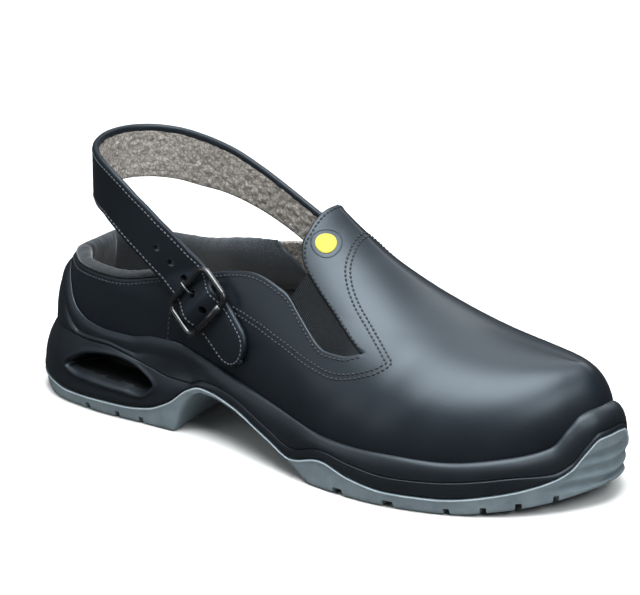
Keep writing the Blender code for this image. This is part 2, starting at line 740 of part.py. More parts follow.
def strap_line():
    """Sections of the strap: place, width, direction, and the way from the buckle's middle bar."""
    line = smooth_line(STRAP, 900)
    walked = np.concatenate([[0], np.cumsum(np.linalg.norm(np.diff(line[:, :3], axis=0), axis=1))])
    buckle = walked[np.argmin(np.linalg.norm(line[:, [0, 2]] - BUCKLE_PLACE, axis=1))]
    near_tip = TIP_RADIUS * np.array([0.015, 0.08, 0.2, 0.4, 0.65, 1.0])
    near_bar = buckle + HUMP_REACH * np.linspace(-2, 2, 9)
    beyond = np.linspace(near_bar[-1], walked[-1], STRAP_SECTIONS)[1:]
    stops = np.concatenate([near_tip, near_bar, beyond])
    place = np.column_stack([np.interp(stops, walked, line[:, k]) for k in range(3)])
    width = np.interp(stops, walked, line[:, 3])
    width *= np.sqrt(1 - (np.clip(TIP_RADIUS - stops, 0, None) / TIP_RADIUS) ** 2)
    course = np.gradient(line[:, :3], axis=0)
    course = np.column_stack([np.interp(stops, walked, course[:, k]) for k in range(3)])
    return place, width, course / np.linalg.norm(course, axis=1)[:, None], stops - buckle


def make_strap():
    """The heel strap: laid on the quarter at both ends, with a hump over the buckle's middle bar."""
    rings = []
    for place, width, course, way in zip(*strap_line()):
        away = np.array([-course[1], course[0], 0.0])
        away /= np.linalg.norm(away)
        up = np.cross(course, away)
        inside = np.array([place + up * width / 2 * line for line in STRAP_LINES])
        side = LATERAL if place[1] < 0 else MEDIAL
        for point in inside:
            if point[0] > LAID_FROM_X:
                face, _ = face_at(side, point[0], point[2])
                point[1] = side * max(side * point[1], side * face[1] + STRAP_CLEARANCE)
        inside += away * HUMP * math.exp(-((way / HUMP_REACH) ** 2))
        out = np.cross(inside[-1] - inside[0], course)
        out *= np.sign(out @ away) / np.linalg.norm(out)
        rings.append(np.vstack([inside, (inside + out * STRAP_THICKNESS)[::-1]]))
    body = loft("heel_strap", rings, leather, cap_pairs=False)
    for k, way in enumerate(HOLE_PLACES):
        ends = on_buckle([(way, 0.0, -HOLE_REACH), (way, 0.0, 2 * HOLE_REACH)])
        combine(body, "DIFFERENCE", tube(f"strap_hole_{k}", ends, HOLE_RADIUS))
    return body


def make_buckle():
    """The frame with its middle bar, and the prong that lies on the frame's upper bar."""
    long, wide, corner = FRAME_LONG / 2, FRAME_WIDE / 2, FRAME_CORNER
    loop = []
    for k, (sign_a, sign_b) in enumerate(((1, 1), (-1, 1), (-1, -1), (1, -1))):
        for turn in np.linspace(0, math.pi / 2, 4):
            angle = turn + k * math.pi / 2
            a = sign_a * (long - corner) + corner * math.cos(angle)
            b = sign_b * (wide - corner) + corner * math.sin(angle)
            loop.append((a, b, FRAME_LIFT))
    frame = tube("buckle_frame", on_buckle(loop), BAR_RADIUS, metal, cyclic=True)
    bar = [
        (0.0, -wide, FRAME_LIFT), (0.0, CENTRE_END - wide, CENTRE_LIFT),
        (0.0, wide - CENTRE_END, CENTRE_LIFT), (0.0, wide, FRAME_LIFT),
    ]
    combine(frame, "UNION", tube("middle_bar", on_buckle(bar), BAR_RADIUS))
    tube("buckle_prong", on_buckle(PRONG), PRONG_RADIUS, metal)
    return frame


def make_chape():
    """The leather patch on the quarter that the buckle's middle bar is held by."""
    half_long, half_wide = CHAPE_LONG / 2, CHAPE_WIDE / 2
    down, up = math.cos(STRAP_SLOPE), math.sin(STRAP_SLOPE)
    outline = []
    for a, b in ((-1, -1), (1, -1), (1, 1), (-1, 1)):
        a, b = a * half_long, b * half_wide
        outline.append((BUCKLE_PLACE[0] + a * down + b * up, BUCKLE_PLACE[1] - a * up + b * down))
    patch = prism("chape_cut", outline, -CUTTER_OVERRUN, -CUTTER_REACH)
    return combine(shell("buckle_chape", CHAPE_DEPTHS, leather), "INTERSECT", patch)


def make_badge():
    """A plain round badge on the tab."""
    place, out = face_at(LATERAL, *BADGE_PLACE)
    reach = out * CUTTER_OVERRUN
    cutter = tube("badge_cut", [place - reach, place + reach], BADGE_RADIUS)
    return combine(shell("badge", BADGE_DEPTHS, enamel), "INTERSECT", cutter)


# Start from an empty scene, with the shoe and the cutters in collections of their own
for thing in list(bpy.data.objects):
    bpy.data.objects.remove(thing, do_unlink=True)
SHOE = new_collection("safety_sandal")
CUTTERS = new_collection("cutters")
GROOVE_CUTTERS = new_collection("groove_cutters")
GROOVE_CUTTERS.hide_render = True

rubber = finish("grey_rubber", (0.115, 0.160, 0.185), 0.62)
foam = finish("black_foam", (0.012, 0.014, 0.018), 0.48)
leather = finish("black_leather", (0.014, 0.017, 0.022), 0.42)
lining = finish("taupe_lining", (0.36, 0.29, 0.23), 0.80)
textile = finish("grey_textile", (0.060, 0.072, 0.080), 0.85)
elastic = finish("black_elastic", (0.024, 0.022, 0.021), 0.75)
metal = finish("black_metal", (0.010, 0.010, 0.011), 0.22, 1.0)
enamel = finish("yellow_enamel", (0.86, 0.76, 0.16), 0.35)

make_outsole()
make_midsole()
make_insole()
make_upper()
make_gore(LATERAL, "gore_lateral")
make_gore(MEDIAL, "gore_medial")
make_collar()
make_strap()
make_buckle()
make_chape()
make_badge()
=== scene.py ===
"""Dresses the safety sandal: finer forms of its pieces, its seams, its finishes and a studio.

All sizes are in millimetres from the back of the heel, as the maker's last gives them, unless a name says
otherwise. Meshes are written in metres, with the sole's box centred over the origin.
"""

import logging
import math
from dataclasses import dataclass, field
from enum import Enum
from functools import partial
from typing import Callable, Iterable, Sequence

import bmesh
import bpy
import numpy as np
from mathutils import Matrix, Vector


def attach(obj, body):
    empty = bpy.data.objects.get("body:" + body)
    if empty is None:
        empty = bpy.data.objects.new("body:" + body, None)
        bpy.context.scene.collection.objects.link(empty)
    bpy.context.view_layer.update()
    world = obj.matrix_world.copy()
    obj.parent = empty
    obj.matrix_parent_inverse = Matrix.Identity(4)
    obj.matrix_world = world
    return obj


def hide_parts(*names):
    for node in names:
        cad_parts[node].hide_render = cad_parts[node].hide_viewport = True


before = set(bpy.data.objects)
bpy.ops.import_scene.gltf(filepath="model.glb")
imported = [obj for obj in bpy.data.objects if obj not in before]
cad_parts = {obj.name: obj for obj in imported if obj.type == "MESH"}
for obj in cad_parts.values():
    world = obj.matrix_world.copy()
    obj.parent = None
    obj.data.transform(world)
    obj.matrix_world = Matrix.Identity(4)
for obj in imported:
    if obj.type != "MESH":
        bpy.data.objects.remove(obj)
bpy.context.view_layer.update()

LOG = logging.getLogger("safety_sandal")
BODY = "root"
MM = 0.001
LINE_STEPS = 40
SHARP_EDGE = math.radians(45)
ANY_WAY = (0.31, 0.85, 0.42)
COOL_GLOSS = (("Specular_Tint", (0.82, 0.92, 1.0, 1.0)),)
Points = np.ndarray
Rule = Callable[..., Points]


class Side(Enum):
    """A side of the shoe, with the sign of its y."""

    LATERAL = -1
    MEDIAL = 1


class Slot(Enum):
    """The record's material slots."""

    RUBBER = "grey_rubber"
    FOAM = "black_foam"
    LEATHER = "black_leather"
    LINING = "taupe_lining"
    TEXTILE = "grey_textile"
    ELASTIC = "black_elastic"
    METAL = "black_metal"
    ENAMEL = "yellow_enamel"


class Table:
    """Rows of named columns, read as smooth curves over the first column that never overshoot."""

    def __init__(self, names: str, *rows: Sequence[float]) -> None:
        """Keeps the columns' names and the rows."""
        self.names = names.split()
        self.rows = np.array(rows, float)

    def __call__(self, name: str, at: Points | float) -> Points:
        """Reads a column.

        Args:
            name: The column.
            at: Places on the first column.

        Returns:
            The column's values there.
        """
        x, y = self.rows[:, 0], self.rows[:, self.names.index(name)]
        step = np.diff(x)
        slope = np.diff(y) / step
        same = slope[:-1] * slope[1:] > 0
        pair = np.where(same, slope[:-1] + slope[1:], 1.0)
        inner = np.where(same, 2 * slope[:-1] * slope[1:] / pair, 0.0)
        tangent = np.concatenate([[slope[0]], inner, [slope[-1]]])
        at = np.clip(np.asarray(at, float), x[0], x[-1])
        i = np.clip(np.searchsorted(x, at, side="right") - 1, 0, len(step) - 1)
        u = (at - x[i]) / step[i]
        leave = ((u - 2) * u + 1) * u * step[i] * tangent[i]
        reach = (u - 1) * u * u * step[i] * tangent[i + 1]
        return y[i] + (y[i + 1] - y[i]) * (3 - 2 * u) * u * u + leave + reach


# The widest line of the sole from above: heel, outer side, toe, then back along the inner side
PLAN = (
    (0, 0), (5, -21), (20, -34), (45, -39.5), (80, -39), (115, -38.5), (150, -46), (185, -53.5),
    (215, -54), (243, -47), (268, -33), (287, -12), (296.5, 12), (293, 26), (283, 37), (262, 47),
    (232, 53), (205, 54), (170, 46), (130, 36), (90, 36.5), (45, 39), (20, 34), (5, 21),
)

# Lines of the sole's side by the share of the way from heel to toe: their heights, how far in the crease is
# tucked, and how far in the upper is seated
SIDE = Table(
    "along joint crease tuck lip seat",
    (0.000, 9.5, 32.6, 6.2, 62.0, 11.5),
    (0.085, 8.5, 33.2, 6.0, 61.2, 10.8),
    (0.120, 8.0, 33.8, 5.2, 53.4, 10.5),
    (0.155, 6.6, 33.2, 4.4, 44.2, 9.0),
    (0.180, 6.6, 32.6, 4.1, 41.0, 8.0),
    (0.215, 7.0, 33.0, 3.7, 39.6, 7.5),
    (0.255, 7.2, 30.8, 3.2, 39.6, 7.0),
    (0.290, 8.9, 28.0, 2.7, 41.8, 7.0),
    (0.325, 14.3, 25.4, 2.1, 42.2, 6.5),
    (0.356, 22.8, 25.2, 1.5, 39.5, 6.5),
    (0.375, 25.2, 27.5, 1.3, 37.5, 6.2),
    (0.430, 22.3, 24.5, 1.2, 33.0, 5.8),
    (0.500, 14.5, 16.8, 1.1, 29.0, 5.5),
    (0.546, 9.5, 12.2, 1.1, 26.2, 5.2),
    (0.600, 14.0, 16.6, 1.1, 23.6, 5.0),
    (0.645, 10.0, 14.2, 1.1, 23.0, 5.0),
    (0.700, 7.5, 12.3, 1.1, 23.3, 5.0),
    (0.760, 7.6, 13.0, 1.1, 23.0, 5.0),
    (0.840, 11.0, 15.8, 1.2, 25.5, 5.5),
    (0.905, 16.0, 18.5, 1.3, 29.2, 6.0),
    (0.930, 20.0, 22.2, 1.4, 36.5, 6.3),
    (0.948, 26.2, 28.6, 1.4, 41.3, 6.6),
    (0.970, 32.0, 34.4, 1.5, 43.0, 6.8),
    (1.000, 33.0, 35.4, 1.5, 43.4, 7.0),
)

# The sole from the side: tread face, inner joint of outsole and midsole, and footbed
BED = Table(
    "x tread joint floor",
    (0, 2.0, 7.0, 31.5),
    (22, 0.0, 7.0, 31.3),
    (80, 0.0, 7.4, 30.8),
    (88, 0.0, 11.0, 30.6),
    (93, 8.5, 14.6, 30.4),
    (98, 15.0, 18.4, 30.2),
    (109, 21.8, 24.4, 29.6),
    (128, 19.2, 21.6, 26.8),
    (152, 11.4, 13.8, 22.4),
    (166, 6.6, 9.2, 19.6),
    (180, 0.0, 7.0, 17.0),
    (205, 0.0, 7.0, 14.2),
    (245, 0.0, 7.0, 13.6),
    (269, 2.5, 9.0, 15.8),
    (283, 5.0, 11.5, 18.0),
    (297, 9.0, 14.0, 20.5),
)

# The last's top line from the side: height, sideways place, and how square the section under it is
RIDGE = Table(
    "x height middle square",
    (52, 132, 0, 2.3),
    (110, 127, 1, 2.2),
    (140, 113, 4, 2.1),
    (152, 108, 6, 2.0),
    (163, 99.5, 7, 1.95),
    (178, 88.5, 8, 1.95),
    (205, 74, 10, 2.0),
    (235, 64.5, 11, 2.15),
    (272, 59.5, 12, 2.35),
)

# The top edge of the collar and of the quarter's front, from the side
QUARTER_TOP = Table(
    "x height",
    (-10, 65.4),
    (20, 65.2),
    (32, 64.4),
    (46, 64.6),
    (57, 65.0),
    (66, 66.2),
    (76, 68.7),
    (88, 71.8),
    (104, 75.6),
    (121, 79.8),
    (130, 80.8),
    (148.5, 76.3),
    (160, 68.3),
    (168, 62.6),
    (173.5, 59.3),
    (178, 57.7),
    (187, 57.3),
    (193.5, 59.0),
)

# Where the textile of the collar ends on the upper's inner face
LINING_SEAM = Table("height x", (48.0, 129.5), (53.0, 126.0), (63.0, 118.5), (70.0, 112.5), (76.4, 106.5))


def smooth_line(points: Sequence[Sequence[float]], count: int, closed: bool = False) -> Points:
    """Draws a smooth line through points.

    Args:
        points: The points, in any number of dimensions.
        count: How many points the line gets.
        closed: Whether it returns to its start.

    Returns:
        Evenly spaced points.
    """
    given = np.array(points, float)
    if closed:
        given = np.vstack([given[-1:], given, given[:2]])
    else:
        given = np.vstack([2 * given[0] - given[1], given, 2 * given[-1] - given[-2]])
    fine = smooth_rows(given[:, None], [LINE_STEPS] * (len(given) - 1), ends=False)[:, 0]
    walked = way_along(fine)
    return columns_at(np.linspace(0, walked[-1], count, endpoint=not closed), walked, fine)


def smooth_rows(given: Points, parts: Sequence[int], ends: bool = True) -> Points:
    """Adds smooth rows between rows of points.

    Args:
        given: Rows, columns and coordinates.
        parts: How many steps each pair of rows gets.
        ends: Whether the first and last rows are kept, or only guide the ones next to them.

    Returns:
        The finer rows.
    """
    given = np.asarray(given, float)
    if ends:
        given = np.concatenate([2 * given[:1] - given[1:2], given, 2 * given[-1:] - given[-2:-1]])
    else:
        parts = parts[1:-1]
    length = np.linalg.norm(np.diff(given, axis=0), axis=2, keepdims=True) + 1e-9
    slope = np.diff(given, axis=0) / length
    tangent = (slope[:-1] * length[1:] + slope[1:] * length[:-1]) / (length[1:] + length[:-1])
    rows = []
    for k, count in enumerate(parts):
        start, end, reach = given[k + 1], given[k + 2], length[k + 1]
        for u in np.arange(count) / count:
            rows.append(
                start * (2 * u**3 - 3 * u**2 + 1)
                + tangent[k] * reach * (u**3 - 2 * u**2 + u)
                + end * (3 * u**2 - 2 * u**3)
                + tangent[k + 1] * reach * (u**3 - u**2)
            )
    return np.array(rows + [given[len(parts) + 1]])


def way_along(line: Points) -> Points:
    """The way along a line of points, from 0 at its start."""
    return np.concatenate([[0], np.cumsum(np.linalg.norm(np.diff(line, axis=0), axis=1))])


def columns_at(at: Points, places: Points, values: Points) -> Points:
    """Each column of values, read between the places that they are given for."""
    return np.column_stack([np.interp(at, places, column) for column in values.T])


def ease(value: Points, start: float, end: float) -> Points:
    """A soft step from 0 at start to 1 at end."""
    t = np.clip((value - start) / (end - start), 0, 1)
    return t * t * (3 - 2 * t)


def unit(vectors: Points) -> Points:
    """The same directions with a length of one."""
    return vectors / np.maximum(np.linalg.norm(vectors, axis=-1, keepdims=True), 1e-12)


def depth_inside(places: Points, outline: Points) -> Points:
    """How far places lie inside a closed flat outline, negative outside it.

    Args:
        places: Points of the plane.
        outline: The outline's corners.

    Returns:
        One distance for each place.
    """
    start, end = outline, np.roll(outline, -1, axis=0)
    run = end - start
    offset = places[:, None] - start[None]
    share = np.clip(np.sum(offset * run, axis=2) / np.sum(run**2, axis=1), 0, 1)
    near = np.linalg.norm(offset - share[..., None] * run, axis=2).min(axis=1)
    x, z = places[:, :1], places[:, 1:]
    crosses = (start[:, 1] > z) != (end[:, 1] > z)
    rise = np.where(np.abs(run[:, 1]) < 1e-9, 1e-9, run[:, 1])
    left = x < start[:, 0] + run[:, 0] * (z - start[:, 1]) / rise
    return np.where(np.sum(crosses & left, axis=1) % 2 == 1, near, -near)


@dataclass
class Last:
    """The form that the shoe is made on: its sole's edge and side lines, and the outer face of its upper."""

    belly: float = 2.0
    belly_height: float = 26.0
    ridge_ends: tuple = (52.0, 272.0)
    lean: float = 7.2
    lean_rise: float = 38.0
    lean_most: float = 45.0
    lean_power: float = 1.6
    lean_ends: dict = field(default_factory=lambda: {Side.LATERAL: 0.24, Side.MEDIAL: 0.13})
    inner_shift: float = 0.018
    inner_turn: float = 0.008
    inner_span: tuple = (0.84, 0.92)
    breast_shift: float = 5.0
    breast_span: tuple = (60.0, 103.0)
    breast_fade: float = 8.0
    stand: float = 0.3
    outline_points: int = 1440
    first_height: float = 70.0
    height_rounds: int = 14
    search_rounds: int = 30
    search_step: float = 0.08
    search_top: float = 0.995

    def __post_init__(self) -> None:
        """Draws the sole's edge."""
        self.outline = smooth_line(PLAN, self.outline_points, closed=True)
        self.tip = int(np.argmax(self.outline[:, 0]))
        turn = np.roll(self.outline, -1, axis=0) - np.roll(self.outline, 1, axis=0)
        self.outward = unit(np.column_stack([turn[:, 1], -turn[:, 0]]))
        low, high = self.outline.min(axis=0), self.outline.max(axis=0)
        self.middle = np.array([*(low + high) / 2, 0.0])

    def lines(self, side: Side, along: Points) -> Points:
        """Places on the table of side lines: by the toe, the lines of the inner side fall sooner.

        Args:
            side: The side.
            along: Shares of the way from heel to toe.

        Returns:
            Shares to read the table at.
        """
        if side is Side.LATERAL:
            return along
        start, end = self.inner_span
        near_toe = np.clip((along - start) / (end - start), 0, 1)
        return along - self.inner_shift * near_toe * (1 - np.exp((along - 1) / self.inner_turn))

    def tread(self, side: Side, x: Points) -> Points:
        """Heights of the tread face; the heel block ends further forward on the outer side.

        Args:
            side: The side.
            x: Places along the shoe.

        Returns:
            The heights.
        """
        back, front = self.breast_span
        fade = np.clip((x - back) / self.breast_fade, 0, 1) * np.clip((front - x) / self.breast_fade, 0, 1)
        return BED("tread", x - self.breast_shift * fade * (side is Side.LATERAL))

    def edge(self, side: Side, along: Points) -> tuple[Points, Points]:
        """The sole's widest line on one side.

        Args:
            side: The side.
            along: Shares of the way from heel to toe.

        Returns:
            Points from above, and the outward directions there.
        """
        share = np.linspace(0, 1, self.tip + 1)
        whole = np.hstack([self.outline, self.outward])
        if side is Side.LATERAL:
            found = columns_at(along, share, whole[: self.tip + 1])
        else:
            inner = np.vstack([whole[self.tip :], [[0, 0, -1, 0]]])[::-1]
            x = np.interp(along, share, self.outline[: self.tip + 1, 0])
            found = columns_at(x, inner[:, 0], inner)
        return found[:, :2], unit(found[:, 2:])

    def seat(self, side: Side, along: Points) -> Points:
        """Where the upper's outer face stands on the footbed.

        Args:
            side: The side.
            along: Shares of the way from heel to toe.

        Returns:
            The points.
        """
        place, away = self.edge(side, along)
        place = place - away * SIDE("seat", along)[:, None]
        return np.column_stack([place, BED("floor", place[:, 0]) + self.stand])

    def ridge(self, along: Points) -> Points:
        """The top line, which runs on above the open collar as a guide.

        Args:
            along: Shares of the way from heel to toe.

        Returns:
            The points.
        """
        middle = (self.seat(Side.LATERAL, along)[:, 0] + self.seat(Side.MEDIAL, along)[:, 0]) / 2
        back, front = self.seat(Side.LATERAL, np.array([0.0, 1.0]))[:, 0]
        start, end = self.ridge_ends
        x = start + (end - start) * (middle - back) / (front - back)
        return np.column_stack([x, RIDGE("middle", x), RIDGE("height", x)])

    def section(self, side: Side, along: Points, rise: Points) -> Points:
        """Points of the outer face.

        Args:
            side: The side.
            along: Shares of the way from heel to toe.
            rise: Shares of the way up the section.

        Returns:
            The points.
        """
        low, top = self.seat(side, along), self.ridge(along)
        power = 2 / RIDGE("square", top[:, 0])
        angle = np.clip(rise, 0, 1) * math.pi / 2
        across, up = np.abs(np.cos(angle)) ** power, np.sin(angle) ** power
        flat = top[:, :2] + (low - top)[:, :2] * across[:, None]
        climb = (top - low)[:, 2] * up
        swell = self.belly * np.sin(math.pi * np.clip(climb / (2 * self.belly_height), 0, 1))
        lean = self.lean * (1 - ease(along, 0.0, self.lean_ends[side]))
        lean = lean * (np.clip(climb, 0, self.lean_most) / self.lean_rise) ** self.lean_power
        out = self.edge(side, along)[1] * (swell - lean)[:, None]
        return np.column_stack([flat + out, low[:, 2] + climb])

    def skin(self, side: Side, along: Points, height: Points) -> Points:
        """Points of the outer face at given heights, one for each place along the edge."""
        return self.section(side, along, self.rise(side, along, height))

    def rise(self, side: Side, along: Points, height: Points) -> Points:
        """Shares of the way up the section at given heights.

        Args:
            side: The side.
            along: Shares of the way from heel to toe.
            height: The heights.

        Returns:
            The shares.
        """
        low, top = self.seat(side, along)[:, 2], self.ridge(along)
        power = 2 / RIDGE("square", top[:, 0])
        share = np.clip((height - low) / (top[:, 2] - low), 0, 1)
        return np.arcsin(share ** (1 / power)) * 2 / math.pi

    def top_height(self, side: Side, along: Points) -> Points:
        """Heights of the quarter's top edge.

        Args:
            side: The side.
            along: Shares of the way from heel to toe.

        Returns:
            The heights.
        """
        height = np.full(len(along), self.first_height)
        for _ in range(self.height_rounds):
            height = QUARTER_TOP("height", self.skin(side, along, height)[:, 0])
        return height

    def top(self, side: Side, along: Points) -> Points:
        """Shares of the way up the section at the quarter's top edge."""
        return self.rise(side, along, self.top_height(side, along))

    def face(self, along: Points, over: Points) -> Points:
        """Points of the whole outer face.

        Args:
            along: Shares of the way from heel to toe.
            over: 0 at the outer side's foot, 1 on the top line and 2 at the inner side's foot.

        Returns:
            The points.
        """
        along, over = np.broadcast_arrays(np.asarray(along, float), np.asarray(over, float))
        shape = along.shape
        along, over = np.clip(along.ravel(), 0, 1), over.ravel()
        outer = self.section(Side.LATERAL, along, over)
        inner = self.section(Side.MEDIAL, along, 2 - over)
        return np.where((over <= 1)[:, None], outer, inner).reshape(*shape, 3)

    def normal(self, along: Points, over: Points, nudge: float = 2e-3) -> Points:
        """Outward directions of the outer face.

        Args:
            along: As face() takes it.
            over: As face() takes it.
            nudge: The step that slopes are taken over.

        Returns:
            The directions.
        """
        run = self.face(along + nudge, over) - self.face(along - nudge, over)
        climb = self.face(along, np.clip(over + nudge, 0, 2)) - self.face(along, np.clip(over - nudge, 0, 2))
        out = unit(np.cross(run, climb))
        ends = (np.asarray(along) < 1e-9) | (np.asarray(along) > 1 - 1e-9)
        if nudge > 0 and np.any(ends):
            other = self.normal(np.where(ends, along, 0.5), np.where(ends, 2 - over, 1.0), -nudge)
            out = np.where(ends[..., None], unit(out + other), out)
        return out

    def spot(self, side: Side, x: Points, z: Points) -> tuple[Points, Points]:
        """Where on the outer face x, z from the side is.

        Args:
            side: The side that is looked at.
            x: Places along the shoe.
            z: Heights.

        Returns:
            The arguments of face().
        """
        x, z = np.atleast_1d(np.asarray(x, float)), np.atleast_1d(np.asarray(z, float))
        along, rise, nudge = 0.05 + 0.9 * x / self.outline[self.tip, 0], np.full(len(x), 0.4), 1e-4
        most = self.search_step
        for _ in range(self.search_rounds):
            here = self.section(side, along, rise)
            run = (self.section(side, along + nudge, rise) - here) / nudge
            climb = (self.section(side, along, rise + nudge) - here) / nudge
            gap_x, gap_z = x - here[:, 0], z - here[:, 2]
            area = run[:, 0] * climb[:, 2] - run[:, 2] * climb[:, 0]
            area = np.where(np.abs(area) < 1e-6, 1e-6, area)
            along = along + np.clip((gap_x * climb[:, 2] - gap_z * climb[:, 0]) / area, -most, most)
            rise = rise + np.clip((run[:, 0] * gap_z - run[:, 2] * gap_x) / area, -most, most)
            along, rise = np.clip(along, 0.001, 0.999), np.clip(rise, 0.001, self.search_top)
        return along, rise if side is Side.LATERAL else 2 - rise


LAST = Last()


def ring(rule: Rule, stations: Points) -> Points:
    """One closed ring of points.

    Args:
        rule: Takes a side and the places along it, and gives points.
        stations: Shares of the way from heel to toe.

    Returns:
        The points along the outer side to the toe, then back on the inner side.
    """
    outer, inner = rule(Side.LATERAL, stations), rule(Side.MEDIAL, stations)
    return np.vstack([outer, inner[-2:0:-1]])


def sole_ring(stations: Points, rule: Rule) -> Points:
    """A ring on the sole's side.

    Args:
        stations: Shares of the way from heel to toe.
        rule: Takes places on the side lines, the side and x, and gives ways in from the edge and heights.

    Returns:
        The ring of points.
    """

    def point(side: Side, along: Points) -> Points:
        """Points of one side.

        Args:
            side: The side.
            along: Shares of the way from heel to toe.

        Returns:
            The points.
        """
        place, away = LAST.edge(side, along)
        inset, height = rule(LAST.lines(side, along), side, place[:, 0])
        full = np.ones(len(along))
        return np.column_stack([place - away * (inset * full)[:, None], height * full])

    return ring(point, stations)


def skin_ring(stations: Points, rule: Rule) -> Points:
    """A ring near the upper's outer face.

    Args:
        stations: Shares of the way from heel to toe.
        rule: Takes the side and places along it, and gives heights and ways out.

    Returns:
        The ring of points.
    """

    def point(side: Side, along: Points) -> Points:
        """Points of one side.

        Args:
            side: The side.
            along: Shares of the way from heel to toe.

        Returns:
            The points.
        """
        height, out = rule(side, along)
        place = LAST.skin(side, along, height)
        place[:, :2] += LAST.edge(side, along)[1] * np.reshape(out * np.ones(len(along)), (-1, 1))
        return place

    return ring(point, stations)


def seat_ring(stations: Points, out: float, climb: float) -> Points:
    """A ring beside the line that the upper stands on.

    Args:
        stations: Shares of the way from heel to toe.
        out: Its way out from that line.
        climb: Its way up.

    Returns:
        The ring of points.
    """

    def point(side: Side, along: Points) -> Points:
        """Points of one side."""
        place, away = LAST.seat(side, along), LAST.edge(side, along)[1]
        return place + np.column_stack([away * out, np.full(len(along), climb)])

    return ring(point, stations)


def spread(*runs: tuple[float, float, int]) -> Points:
    """Places along a line: runs of a start, an end and a count, and then the last end."""
    parts = [np.linspace(start, end, count, endpoint=False) for start, end, count in runs]
    return np.concatenate(parts + [[runs[-1][1]]])


def place_object(name: str, data: bpy.types.ID) -> bpy.types.Object:
    """Puts a new object with the data into the scene.

    Args:
        name: The object's name.
        data: Its mesh, lamp or camera.

    Returns:
        The object.
    """
    made = bpy.data.objects.new(name, data)
    bpy.context.scene.collection.objects.link(made)
    return made


def plain_mesh(body: bpy.types.Object) -> bpy.types.Mesh:
    """Makes a mesh of a body as its modifiers leave it, and then removes them.

    Args:
        body: The body.

    Returns:
        The mesh.
    """
    made = bpy.data.meshes.new_from_object(body.evaluated_get(bpy.context.evaluated_depsgraph_get()))
    body.modifiers.clear()
    return made


